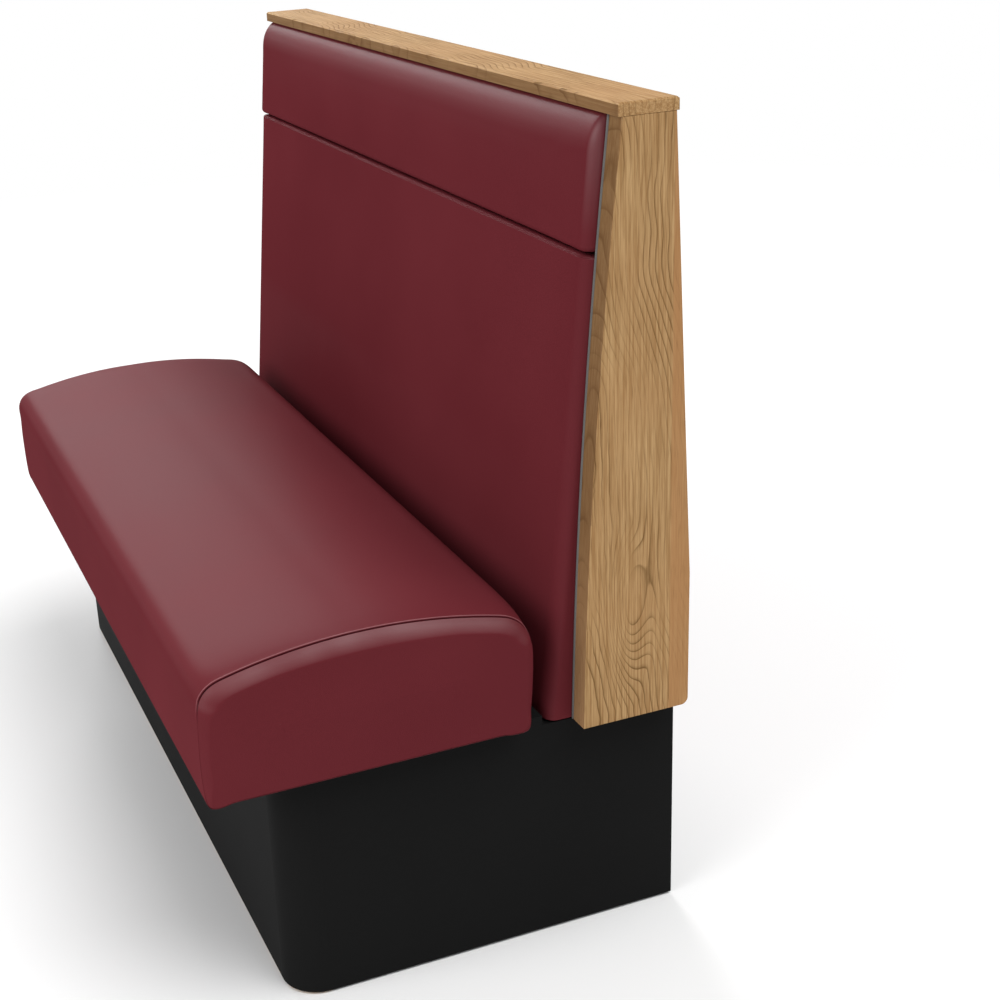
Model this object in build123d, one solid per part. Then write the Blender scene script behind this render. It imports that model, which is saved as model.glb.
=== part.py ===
from build123d import *
import os
from math import atan2, cos, sin, sqrt, tan

# Restaurant booth bench, one sided, upholstered in vinyl, with an oak end panel and capping.
# Millimetres. X runs along the bench, Y towards the rear, Z up. The origin is on the floor,
# at the middle of the bench's length and depth.

# Overall sizes
booth_length = 1200
booth_depth = 590
booth_height = 1000

# Oak capping board
cap_thickness = 14
cap_front_overhang = 4.5
cap_rear_overhang = 2.5
cap_edge_radius = 2

# Oak end panel, right end only
oak_thickness = 27
oak_foot_depth = 138
oak_top_depth = 64
oak_top_setback = 24
oak_kink_rise = 170
oak_front_bow = 7.5
oak_heel_radius = 9
oak_edge_radius = 1.5

# Plinth
plinth_height = 288
plinth_end_inset = 31
plinth_front_inset = 86
plinth_rear_inset = 2
plinth_corner_radius = 45
plinth_skin_thickness = 1
plinth_board_thickness = 18
bearer_thickness = 22
cross_bearer_share = 0.34
corner_block_side = 55

# Glides under the plinth
glide_diameter = 26
glide_height = 3
glide_row_shares = (-0.5, 0, 0.5)

# Floor brackets inside the plinth
bracket_leg = 40
bracket_width = 30
bracket_thickness = 3
bracket_bore_diameter = 7
bracket_place_share = 0.55
bracket_bore_share = 0.6

# Deck that carries the seat cushion
deck_thickness = 12
deck_rear_gap = 5
deck_screw_diameter = 4.5
deck_screw_head_diameter = 9
deck_screw_head_height = 2.5
deck_screw_length = 34
deck_screw_edge_distance = 9
deck_screw_shares = (-0.8, -0.4, 0, 0.4, 0.8)

# Seat cushion
seat_end_inset = 4
seat_front_bulge = 4
seat_back_gap = 26
seat_board_thickness = 15
seat_board_side_inset = 5
seat_cover_thickness = 3
seat_side_panel_thickness = 6
seat_front_rise = 140
seat_rear_rise = 122
seat_arch_rise = 170
seat_crown = 3
seat_front_corner_radius = 26
seat_rear_corner_radius = 30
seat_rear_bulge = 4
seat_shoulder_out_share = 0.28
seat_shoulder_up_share = 0.62
seat_shoulder_top_share = 0.95
seat_quarter_crown_share = 0.75
seat_end_draw = 6
seat_end_draw_width = 22
seat_left_corner_radius = 85
seat_left_roll_length = 110
seat_left_roll_drop = 60
seat_left_roll_steps = (0, 0.06, 0.2, 0.4, 0.7, 1)
vent_hole_diameter = 25
vent_hole_shares = (-0.75, -0.45, -0.15, 0.15, 0.45, 0.75)
dust_cover_thickness = 0.6
dust_cover_margin = 12
rest_pad_diameter = 30
rest_pad_height = 3
rest_pad_shares = (-0.9, 0, 0.9)
rest_pad_edge_distance = 40
peg_diameter = 20
peg_length = 11
peg_hole_clearance = 2
peg_place_share = 0.7
peg_row_share = 0.62

# Back frame
back_foot_depth = 172
frame_board_thickness = 18
rib_shares = (-0.5, 0, 0.5)
rail_depth = 20
rail_rear_gap = 1.4
top_rail_height = 40
crease_rail_height = 60
sole_thickness = 22
left_panel_thickness = 18
joining_hole_diameter = 8.5
joining_hole_low_rise = 112
joining_hole_distance = 360
joining_hole_setback = 60

# Bolts that hold the back down on the plinth
bolt_diameter = 8
bolt_head_diameter = 14
bolt_head_height = 5
bolt_length = 42
bolt_clearance = 0.4
washer_diameter = 22
washer_thickness = 2
insert_diameter = 12
insert_length = 18
bolt_place_shares = (-0.8, -0.27, 0.27, 0.8)
bolt_row_share = 0.55

# Upholstered pads on the front of the back
pad_board_thickness = 9
pad_soft_thickness = 28
pad_cover_thickness = 3
pad_reveal = 2
crease_gap = 1.5
pad_crown = 4
pad_edge_radius = 16
pad_foot_radius = 7
pad_end_draw = 8
pad_end_draw_width = 16
roll_height = 139
roll_top_gap = 1
roll_bulge = 9
roll_edge_radius = 30
pad_board_margin = 7
edge_depth_share = 0.9
end_shorten_share = 0.3

# Upholstered pads on the rear of the back
rear_board_thickness = 6
rear_soft_thickness = 10
rear_cover_thickness = 2
rear_pad_gap = 2
rear_edge_radius = 5
rear_pad_setback = 1.5
rear_upper_bulge = 4
rear_lower_bulge = 1.5

# Small screws and brackets
cap_screw_diameter = 5
cap_screw_length = 48
cap_screw_head_diameter = 10
cap_screw_head_height = 3
cap_screw_shares = (-0.85, -0.3, 0.3, 0.85)
angle_leg = 34
angle_width = 20
angle_thickness = 2.5
angle_rear_gap = 2.5
pad_screw_diameter = 4
pad_screw_head_diameter = 8
pad_screw_head_height = 2.5
pad_screw_tip_gap = 2
pad_screw_row_distance = 34
pad_screw_shares = (-0.75, -0.25, 0.25, 0.75)

# Fits
clearance = 0.3
cut_overrun = 5

# Where the middle of a quarter round lies, as a share of its radius
bend_share = 1 - 1 / sqrt(2)

# Set-out worked out from the sizes above
x_end = booth_length / 2
y_rear = booth_depth / 2
y_front = -booth_depth / 2
z_cap = booth_height - cap_thickness
x_oak = x_end - oak_thickness
x_left_panel = -x_end + left_panel_thickness
plinth_x = x_end - plinth_end_inset
plinth_front = y_front + plinth_front_inset
plinth_rear = y_rear - plinth_rear_inset
board_x = plinth_x - plinth_skin_thickness
board_front = plinth_front + plinth_skin_thickness
post_radius = plinth_corner_radius - plinth_skin_thickness
inner_x = board_x - plinth_board_thickness
inner_front = board_front + plinth_board_thickness
inner_rear = plinth_rear - plinth_board_thickness
pad_thickness = pad_board_thickness + pad_soft_thickness
rear_pad_thickness = rear_board_thickness + rear_soft_thickness
pad_foot_y = y_rear - back_foot_depth
frame_foot_y = pad_foot_y + pad_thickness
frame_top_y = (y_rear - oak_top_setback - rear_pad_setback - rear_pad_thickness
               - rail_rear_gap - rail_depth)
lean = atan2(frame_top_y - frame_foot_y, z_cap - plinth_height)
lean_sin = sin(lean)
lean_cos = cos(lean)
frame_length = (z_cap - plinth_height) / lean_cos
roll_end = frame_length - (pad_thickness + roll_bulge) * tan(lean) - roll_top_gap
roll_start = roll_end - roll_height
crease_rise = roll_start - crease_gap
deck_top = plinth_height + deck_thickness
deck_rear = pad_foot_y - deck_rear_gap
seat_x = x_end - seat_end_inset
seat_front = y_front + seat_front_bulge
seat_rear = pad_foot_y - seat_back_gap
seat_depth = seat_rear - seat_front
seat_bottom = deck_top + rest_pad_height + dust_cover_thickness
seat_board_top = seat_bottom + seat_board_thickness
back_bearer_front = frame_foot_y - plinth_board_thickness


def block(x0, x1, y0, y1, z0, z1):
    """A box between two corners."""
    size = Box(x1 - x0, y1 - y0, z1 - z0)
    return Pos((x0 + x1) / 2, (y0 + y1) / 2, (z0 + z1) / 2) * size


def rod(x, y, z0, z1, diameter):
    """An upright round bar."""
    return Pos(x, y, (z0 + z1) / 2) * Cylinder(diameter / 2, z1 - z0)


def bar_x(points, x0, x1):
    """A straight-sided outline in Y and Z, carried along X."""
    face = make_face(Polyline(*points, close=True).edges())
    return extrude(Plane.YZ.offset(x0) * face, x1 - x0)


def frame_front(z):
    """Y of the back frame's leaning front face at a height."""
    return frame_foot_y + (z - plinth_height) * tan(lean)


def back_rear(z):
    """Y of the finished rear face at a height: upright below the kink, leaning above it."""
    kink = plinth_height + oak_kink_rise
    over = max(z - kink, 0)
    return y_rear - oak_top_setback * over / (z_cap - kink)


def rear_face(z):
    """Y of the rear pads' outer face, a little inside the oak panel's rear edge."""
    return back_rear(z) - rear_pad_setback


def leaning(along, out):
    """A point given along the leaning front of the frame and out from it, as Y and Z."""
    y = frame_foot_y + along * lean_sin - out * lean_cos
    z = plinth_height + along * lean_cos + out * lean_sin
    return (y, z)


def mirrored(shares, reach):
    """Places along X, from shares of a reach."""
    return [share * reach for share in shares]


# Plinth

def rounded_slab(half_x, front, rear, radius, z0, z1):
    """A flat slab whose two front corners are rounded."""
    slab = block(-half_x, half_x, front, rear, z0, z1)
    edges = slab.edges().filter_by(Axis.Z).group_by(Axis.Y)[0]
    return fillet(edges, radius)


def make_plinth_skin():
    outer = rounded_slab(plinth_x, plinth_front, plinth_rear, plinth_corner_radius,
                         glide_height, plinth_height)
    inner = rounded_slab(board_x, board_front, plinth_rear + cut_overrun, post_radius,
                         glide_height - cut_overrun, plinth_height + cut_overrun)
    return outer - inner


def make_corner_post(side):
    x = board_x - post_radius
    y = board_front + post_radius
    post = rod(x, y, glide_height, plinth_height, 2 * post_radius)
    quarter = block(x, board_x, board_front, y, glide_height, plinth_height)
    post = post & quarter
    return post if side > 0 else mirror(post, Plane.YZ)


def make_plinth_boards():
    x_post = board_x - post_radius
    y_post = board_front + post_radius
    low = glide_height
    top = plinth_height
    front = block(-x_post, x_post, board_front, inner_front, low, top)
    right = block(inner_x, board_x, y_post, plinth_rear, low, top)
    rear = block(-inner_x, inner_x, inner_rear, plinth_rear, low, top)
    return front, mirror(right, Plane.YZ), right, rear


def make_back_bearer():
    return block(-inner_x, inner_x, back_bearer_front, inner_rear,
                 plinth_height - bearer_thickness, plinth_height)


def make_cross_bearer(x, back_bearer):
    half = plinth_board_thickness / 2
    bearer = block(x - half, x + half, inner_front, inner_rear, glide_height, plinth_height)
    return bearer - back_bearer


def make_corner_block(side_x, low, high):
    """A three-cornered glue block in a rear corner of the plinth."""
    corner = [(inner_x, inner_rear), (inner_x - corner_block_side, inner_rear),
              (inner_x, inner_rear - corner_block_side)]
    face = make_face(Polyline(*corner, close=True).edges())
    wedge = extrude(Plane.XY.offset(low) * face, high - low)
    return wedge if side_x > 0 else mirror(wedge, Plane.YZ)


def make_glides():
    """Plastic glides under the front and rear boards."""
    radius = glide_diameter / 2
    rows = (board_front + radius, plinth_rear - radius)
    reach = 2 * (board_x - plinth_corner_radius)
    places = [(share * reach, y) for share in glide_row_shares for y in rows]
    return [rod(x, y, 0, glide_height, glide_diameter) for x, y in places]


def bracket_place(side):
    """Where the floor bracket's hole is, as X and Y."""
    return side * bracket_place_share * inner_x, inner_rear - bracket_leg * bracket_bore_share


def make_floor_bracket(side):
    x, y = bracket_place(side)
    half = bracket_width / 2
    foot = block(x - half, x + half, inner_rear - bracket_leg, inner_rear, 0, bracket_thickness)
    wall = block(x - half, x + half, inner_rear - bracket_thickness, inner_rear,
                 0, bracket_leg)
    bore = rod(x, y, -cut_overrun, bracket_thickness + cut_overrun, bracket_bore_diameter)
    return foot + wall - bore


# Deck

def deck_screw_places():
    y_row = board_front + deck_screw_edge_distance
    return [(x, y_row) for x in mirrored(deck_screw_shares, inner_x)]


def countersunk(x, y, z_top, diameter, head_diameter, head_height, length):
    """A countersunk screw, head up, its head flush with a height."""
    shank = rod(x, y, z_top - length, z_top - head_height, diameter)
    head = Pos(x, y, z_top - head_height / 2) * Cone(diameter / 2, head_diameter / 2, head_height)
    return shank + head


def deck_screw(x, y, spare):
    return countersunk(x, y, deck_top, deck_screw_diameter + 2 * spare,
                       deck_screw_head_diameter + 2 * spare, deck_screw_head_height,
                       deck_screw_length + spare)


def peg_places():
    y_mid = (seat_front + seat_rear) / 2
    y_reach = peg_row_share * seat_depth / 2
    y_deck_mid = (plinth_front + deck_rear) / 2
    rows = (max(y_mid - y_reach, inner_front + peg_diameter), y_deck_mid + y_reach / 2)
    columns = (-peg_place_share * inner_x, peg_place_share * inner_x)
    return [(x, y) for x in columns for y in rows]


def make_deck():
    deck = rounded_slab(plinth_x, plinth_front, deck_rear, plinth_corner_radius,
                        plinth_height, deck_top)
    for x, y in peg_places():
        deck -= rod(x, y, plinth_height - cut_overrun, deck_top + cut_overrun,
                    peg_diameter + 2 * peg_hole_clearance)
    for x, y in deck_screw_places():
        deck -= deck_screw(x, y, clearance)
    return deck


# Seat cushion

def seat_outline(inset, crown, draw, drop=0, corner=0):
    """The cushion's end profile in Y and Z, drawn in by an inset: flat below, arched above."""
    shrink = inset + draw
    y0 = seat_front + shrink + corner
    y1 = seat_rear - shrink - corner
    low = seat_bottom
    front_z = seat_bottom + seat_front_rise - shrink - drop
    rear_z = seat_bottom + seat_rear_rise - shrink - drop
    top_z = seat_bottom + seat_arch_rise + crown - shrink - drop
    fr = seat_front_corner_radius - inset
    rr = seat_rear_corner_radius - inset
    bow_front = (y0 - seat_front_bulge, (low + front_z) / 2)
    bow_rear = (y1 + seat_rear_bulge, (low + rear_z) / 2)
    front_top = (y0 + fr, front_z + fr * seat_shoulder_top_share)
    rear_top = (y1 - rr, rear_z + rr * seat_shoulder_top_share)
    middle = ((y0 + y1) / 2, top_z)
    front_shoulder = (y0 + fr * seat_shoulder_out_share, front_z + fr * seat_shoulder_up_share)
    rear_shoulder = (y1 - rr * seat_shoulder_out_share, rear_z + rr * seat_shoulder_up_share)
    edges = [
        Line((y0, low), (y1, low)),
        ThreePointArc((y1, low), bow_rear, (y1, rear_z)),
        ThreePointArc((y1, rear_z), rear_shoulder, rear_top),
        ThreePointArc(rear_top, middle, front_top),
        ThreePointArc(front_top, front_shoulder, (y0, front_z)),
        ThreePointArc((y0, front_z), bow_front, (y0, low)),
    ]
    return make_face(edges)


def quarter_fall(depth, share):
    """How far a quarter ellipse falls short of its depth at a share of its length, 0 to 1."""
    return depth * (1 - sqrt(1 - (1 - min(share, 1)) ** 2))


def seat_form(inset):
    """The whole cushion as one crowned form: drawn in at its ends, rounded off at the left."""
    half = seat_x - inset
    stations = [(half, 0, seat_end_draw), (half - seat_end_draw_width, 0, 0),
                (half / 2, seat_crown * seat_quarter_crown_share, 0), (0, seat_crown, 0),
                (-half / 2, seat_crown * seat_quarter_crown_share, 0)]
    for share in reversed(seat_left_roll_steps):
        x = seat_left_roll_length * share
        stations.append((x - half, 0, seat_end_draw * max(0, 1 - x / seat_end_draw_width),
                         quarter_fall(seat_left_roll_drop, share),
                         quarter_fall(seat_left_corner_radius, x / seat_left_corner_radius)))
    faces = [Plane.YZ.offset(x) * seat_outline(inset, *shape)
             for x, *shape in reversed(stations)]
    return loft(faces, ruled=True)


def rounded_left(sheet, inset, z):
    """A flat piece under the cushion, its left corners kept an inset inside the cushion's form."""
    return sheet & (Pos(0, 0, z - seat_bottom) * seat_form(inset))


def make_seat_board():
    margin = seat_cover_thickness + seat_board_side_inset + seat_end_draw
    half = seat_x - margin
    board = block(-half, half, seat_front + margin, seat_rear - margin, seat_bottom,
                  seat_board_top)
    board = rounded_left(board, seat_cover_thickness + seat_board_side_inset, seat_bottom)
    y_mid = (seat_front + seat_rear) / 2
    for x in mirrored(vent_hole_shares, half):
        board -= rod(x, y_mid, seat_bottom - cut_overrun, seat_board_top + cut_overrun,
                     vent_hole_diameter)
    return board


def make_seat_pieces():
    """The foam, the wrapped cover and the two end panels, cut from two nested forms."""
    outer = seat_form(0)
    inner = seat_form(seat_cover_thickness)
    foam = seat_form(seat_cover_thickness + clearance)
    shell = outer - inner
    far = booth_length
    above = block(-far, far, -far, far, seat_board_top, far)
    below = block(-far, far, -far, far, seat_bottom - cut_overrun, seat_board_top)
    margin = seat_cover_thickness + seat_board_side_inset + seat_end_draw
    half = seat_x - margin
    board_hole = block(-half - clearance, half + clearance, seat_front + margin - clearance,
                       seat_rear - margin + clearance, seat_bottom, seat_board_top)
    board_hole = rounded_left(board_hole, seat_cover_thickness + seat_board_side_inset
                              - clearance, seat_bottom)
    foam = (foam & above) + (foam & below) - board_hole
    x_cut = seat_x - seat_side_panel_thickness
    middle = block(-x_cut, x_cut, -far, far, 0, far)
    left_end = block(-far, -x_cut, -far, far, 0, far)
    right_end = block(x_cut, far, -far, far, 0, far)
    return foam, shell & middle, shell & left_end, shell & right_end


def make_dust_cover():
    margin = dust_cover_margin
    low = seat_bottom - dust_cover_thickness
    half = seat_x - margin
    sheet = block(-half, half, seat_front + margin, seat_rear - margin, low, seat_bottom)
    sheet = rounded_left(sheet, margin, low)
    for x, y in peg_places():
        sheet -= rod(x, y, low - cut_overrun, seat_bottom + cut_overrun,
                     peg_diameter + 2 * clearance)
    return sheet


def make_rest_pads():
    """Rubber pads between the cushion's underside and the deck."""
    low = deck_top
    top = seat_bottom - dust_cover_thickness
    rows = (plinth_front + rest_pad_edge_distance, deck_rear - rest_pad_edge_distance)
    places = [(x, y) for x in mirrored(rest_pad_shares, inner_x) for y in rows]
    return [rod(x, y, low, top, rest_pad_diameter) for x, y in places]


def make_pegs():
    return [rod(x, y, seat_bottom - peg_length, seat_bottom, peg_diameter)
            for x, y in peg_places()]


# Back frame

def rail(z0, z1, depth):
    """A rail behind the frame's leaning front face, level above and below."""
    points = [(frame_front(z0), z0), (frame_front(z0) + depth, z0),
              (frame_front(z1) + depth, z1), (frame_front(z1), z1)]
    return bar_x(points, x_left_panel, x_oak)


def frame_outline():
    """The ribs' outline: leaning front, kinked rear, set in by the rear upholstery."""
    kink = plinth_height + oak_kink_rise
    inset = rear_pad_thickness
    return [(frame_front(plinth_height), plinth_height), (frame_front(z_cap), z_cap),
            (rear_face(z_cap) - inset, z_cap), (rear_face(kink) - inset, kink),
            (rear_face(plinth_height) - inset, plinth_height)]


def make_sole():
    """The flat board at the foot of the back that is bolted down on the plinth."""
    rear = rear_face(plinth_height) - rear_pad_thickness
    points = [(frame_front(plinth_height), plinth_height), (rear, plinth_height),
              (rear, plinth_height + sole_thickness),
              (frame_front(plinth_height + sole_thickness), plinth_height + sole_thickness)]
    return bar_x(points, x_left_panel, x_oak)


def bolt_places():
    y = frame_foot_y + bolt_row_share * (inner_rear - frame_foot_y)
    return [(x, y) for x in mirrored(bolt_place_shares, inner_x)]


def make_bolts():
    seat_z = plinth_height + sole_thickness + washer_thickness
    bolts = []
    for x, y in bolt_places():
        shank = rod(x, y, seat_z - bolt_length, seat_z, bolt_diameter)
        bolts.append(shank + rod(x, y, seat_z, seat_z + bolt_head_height, bolt_head_diameter))
    return bolts


def make_washers():
    low = plinth_height + sole_thickness
    hole = bolt_diameter + 2 * bolt_clearance
    return [rod(x, y, low, low + washer_thickness, washer_diameter)
            - rod(x, y, low - cut_overrun, low + washer_thickness + cut_overrun, hole)
            for x, y in bolt_places()]


def make_inserts():
    """Threaded inserts in the plinth's back bearer."""
    low = plinth_height - insert_length
    hole = bolt_diameter + 2 * bolt_clearance
    return [rod(x, y, low, plinth_height, insert_diameter)
            - rod(x, y, low - cut_overrun, plinth_height + cut_overrun, hole)
            for x, y in bolt_places()]


def make_oak_panel():
    """The tapered end panel: bowed front edge, kinked rear edge, rounded heel."""
    kink = plinth_height + oak_kink_rise
    foot_front = (y_rear - oak_foot_depth, plinth_height)
    top_rear = (y_rear - oak_top_setback, z_cap)
    top_front = (top_rear[0] - oak_top_depth, z_cap)
    middle = ((foot_front[0] + top_front[0]) / 2 - oak_front_bow, (plinth_height + z_cap) / 2)
    heel = oak_heel_radius
    bend = heel * bend_share
    edges = [
        Line(foot_front, (y_rear - heel, plinth_height)),
        ThreePointArc((y_rear - heel, plinth_height), (y_rear - bend, plinth_height + bend),
                      (y_rear, plinth_height + heel)),
        Line((y_rear, plinth_height + heel), (y_rear, kink)),
        Line((y_rear, kink), top_rear),
        Line(top_rear, top_front),
        ThreePointArc(top_front, middle, foot_front),
    ]
    panel = extrude(Plane.YZ.offset(x_oak) * make_face(edges), oak_thickness)
    outer_edges = panel.faces().sort_by(Axis.X)[-1].edges()
    return fillet(outer_edges, oak_edge_radius)


def make_left_panel():
    """The plain left end, with two holes for bolting a neighbouring bench to it."""
    panel = bar_x(frame_outline(), -x_end, x_left_panel)
    y = y_rear - joining_hole_setback
    low = plinth_height + joining_hole_low_rise
    length = left_panel_thickness + 2 * cut_overrun
    for z in (low, low + joining_hole_distance):
        hole = Cylinder(joining_hole_diameter / 2, length)
        panel -= Pos(x_left_panel - left_panel_thickness / 2, y, z) * Rot(0, 90, 0) * hole
    return panel


def make_cap():
    y1 = y_rear - oak_top_setback + cap_rear_overhang
    y0 = y_rear - oak_top_setback - oak_top_depth - cap_front_overhang
    cap = block(-x_end, x_end, y0, y1, z_cap, booth_height)
    for x, y in cap_screw_places():
        cap -= cap_screw(x, y, clearance)
    return chamfer(cap.faces().sort_by(Axis.Z)[-1].edges(), cap_edge_radius)


def cap_screw_places():
    y = (frame_front(z_cap - top_rail_height) + frame_front(z_cap) + rail_depth) / 2
    return [(x, y) for x in mirrored(cap_screw_shares, x_left_panel)]


def cap_screw(x, y, spare):
    """A screw driven up through the top rail into the cap, head below."""
    low = z_cap - top_rail_height
    top = low + cap_screw_length + spare
    shank = rod(x, y, low, top, cap_screw_diameter + 2 * spare)
    return shank


def make_cap_screws():
    low = z_cap - top_rail_height
    return [cap_screw(x, y, 0) + rod(x, y, low - cap_screw_head_height, low,
                                     cap_screw_head_diameter)
            for x, y in cap_screw_places()]


def make_angle(z, side):
    """A small steel angle that joins a rail to an end panel."""
    y0 = frame_front(z + angle_width / 2) + rail_depth
    y1 = y0 + angle_thickness
    x = x_oak if side > 0 else x_left_panel
    inward = -side
    leg = block(min(x, x + inward * angle_leg), max(x, x + inward * angle_leg), y0, y1,
                z - angle_width / 2, z + angle_width / 2)
    y2 = rear_face(z + angle_width / 2) - rear_pad_thickness - angle_rear_gap
    wing = block(min(x, x + inward * angle_thickness), max(x, x + inward * angle_thickness),
                 y1, y2, z - angle_width / 2, z + angle_width / 2)
    return leg + wing


# Upholstered pads

def pad_outline(along0, along1, inset, bulge, top_radius, foot_radius, draw):
    """A pad's profile on the leaning front: flat behind, rounded at both edges, crowned."""
    a0 = along0 + inset + draw * end_shorten_share
    a1 = along1 - inset - draw * end_shorten_share
    base = pad_board_thickness
    out = pad_thickness - inset - draw
    depth_share = edge_depth_share * (out - base) / pad_soft_thickness
    top_along = top_radius - inset
    top_out = top_radius * depth_share
    foot_along = foot_radius
    foot_out = foot_radius * depth_share
    edges = [
        Line(leaning(a0, base), leaning(a0, out - foot_out)),
        ThreePointArc(leaning(a0, out - foot_out),
                      leaning(a0 + foot_along * bend_share, out - foot_out * bend_share),
                      leaning(a0 + foot_along, out)),
        ThreePointArc(leaning(a0 + foot_along, out), leaning((a0 + a1) / 2, out + bulge),
                      leaning(a1 - top_along, out)),
        ThreePointArc(leaning(a1 - top_along, out),
                      leaning(a1 - top_along * bend_share, out - top_out * bend_share),
                      leaning(a1, out - top_out)),
        Line(leaning(a1, out - top_out), leaning(a1, base)),
        Line(leaning(a1, base), leaning(a0, base)),
    ]
    return make_face(edges)


def pad_form(along0, along1, inset, bulge, top_radius, foot_radius):
    """A pad as one form along X, its ends drawn in, through five cross sections."""
    x0 = -x_end + inset
    x1 = x_oak - pad_reveal - inset
    width = pad_end_draw_width
    middle = (x0 + x1) / 2
    stations = [(x0, pad_end_draw), (x0 + width, 0), (middle, 0), (x1 - width, 0),
                (x1, pad_end_draw)]
    faces = [Plane.YZ.offset(x) * pad_outline(along0, along1, inset, bulge, top_radius,
                                              foot_radius, draw)
             for x, draw in stations]
    return loft(faces, ruled=True)


def make_pad(along0, along1, bulge, top_radius, foot_radius):
    """A pad's cover, foam and board, with holes for its screws in the board."""
    outer = pad_form(along0, along1, 0, bulge, top_radius, foot_radius)
    hollow = pad_form(along0, along1, pad_cover_thickness, bulge, top_radius, foot_radius)
    foam = pad_form(along0, along1, pad_cover_thickness + clearance, bulge, top_radius,
                    foot_radius)
    m = pad_board_margin
    corners = [leaning(along0 + m, 0), leaning(along0 + m, pad_board_thickness),
               leaning(along1 - m, pad_board_thickness), leaning(along1 - m, 0)]
    board = bar_x(corners, -x_end + m, x_oak - pad_reveal - m)
    for x, along in pad_screw_places():
        if along0 < along < along1:
            board -= pad_screw(x, along, clearance)
    return outer - hollow, foam, board


def rear_pad_outline(z0, z1, inset, bulge):
    """A thin pad on the rear, between two heights, following the rear face."""
    low = z0 + rear_pad_gap / 2 + inset
    top = z1 - rear_pad_gap / 2 - inset
    r = rear_edge_radius - inset / 2
    bend = r * bend_share
    back0 = rear_face(low) - rear_soft_thickness
    back1 = rear_face(top) - rear_soft_thickness
    face0 = rear_face(low) - inset
    face1 = rear_face(top) - inset
    middle = ((rear_face(low) + rear_face(top)) / 2 - inset + bulge, (low + top) / 2)
    edges = [
        Line((back0, low), (face0 - r, low)),
        ThreePointArc((face0 - r, low), (face0 - bend, low + bend), (face0, low + r)),
        ThreePointArc((face0, low + r), middle, (face1, top - r)),
        ThreePointArc((face1, top - r), (face1 - bend, top - bend), (face1 - r, top)),
        Line((face1 - r, top), (back1, top)),
        Line((back1, top), (back0, low)),
    ]
    return make_face(edges)


def make_rear_pad(z0, z1, bulge):
    """A rear pad's cover, foam and board."""
    x0 = -x_end
    x1 = x_oak - pad_reveal
    inset = rear_cover_thickness
    length = x1 - x0
    outer = extrude(Plane.YZ.offset(x0) * rear_pad_outline(z0, z1, 0, bulge), length)
    hollow = extrude(Plane.YZ.offset(x0 + inset) * rear_pad_outline(z0, z1, inset, bulge),
                     length - 2 * inset)
    grown = inset + clearance
    foam = extrude(Plane.YZ.offset(x0 + grown) * rear_pad_outline(z0, z1, grown, bulge),
                   length - 2 * grown)
    low = z0 + rear_pad_gap / 2
    top = z1 - rear_pad_gap / 2
    board_face = [(rear_face(low) - rear_pad_thickness, low),
                  (rear_face(low) - rear_soft_thickness, low),
                  (rear_face(top) - rear_soft_thickness, top),
                  (rear_face(top) - rear_pad_thickness, top)]
    board = bar_x(board_face, x0 + left_panel_thickness, x1)
    return outer - hollow, foam, board


def pad_screw(x, along, spare):
    """A screw through a rail into the board of a pad, square to the leaning front."""
    length = rail_depth + pad_board_thickness - pad_screw_tip_gap + spare
    y, z = leaning(along, length - rail_depth)
    tip = Plane(origin=(x, y, z), x_dir=(1, 0, 0), z_dir=(0, lean_cos, -lean_sin))
    return tip * (Pos(0, 0, length / 2) * Cylinder(pad_screw_diameter / 2 + spare, length))


def pad_screw_head(x, along):
    """The screw's round head, behind the rail."""
    y, z = leaning(along, -rail_depth)
    place = Plane(origin=(x, y, z), x_dir=(1, 0, 0), z_dir=(0, lean_cos, -lean_sin))
    head = Cylinder(pad_screw_head_diameter / 2, pad_screw_head_height)
    return place * (Pos(0, 0, pad_screw_head_height / 2) * head)


def pad_screw_places():
    """Two rows along the crease rail: one for the head roll, one for the pad below it."""
    middle = crease_rise + crease_gap / 2
    rows = (middle - pad_screw_row_distance / 2, middle + pad_screw_row_distance / 2)
    return [(x, along) for x in mirrored(pad_screw_shares, x_end) for along in rows]


def write(name, shape):
    """Writes one node, or a group of like solids, to its file."""
    if isinstance(shape, (list, tuple)):
        shape = Compound(children=[Solid(s.solids()[0].wrapped) for s in shape])
    shape.label = name
    export_step(shape, "parts/" + name + ".step")
    box = shape.bounding_box()
    print(name, len(shape.solids()), [round(v, 1) for v in (*box.min, *box.max)])


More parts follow.
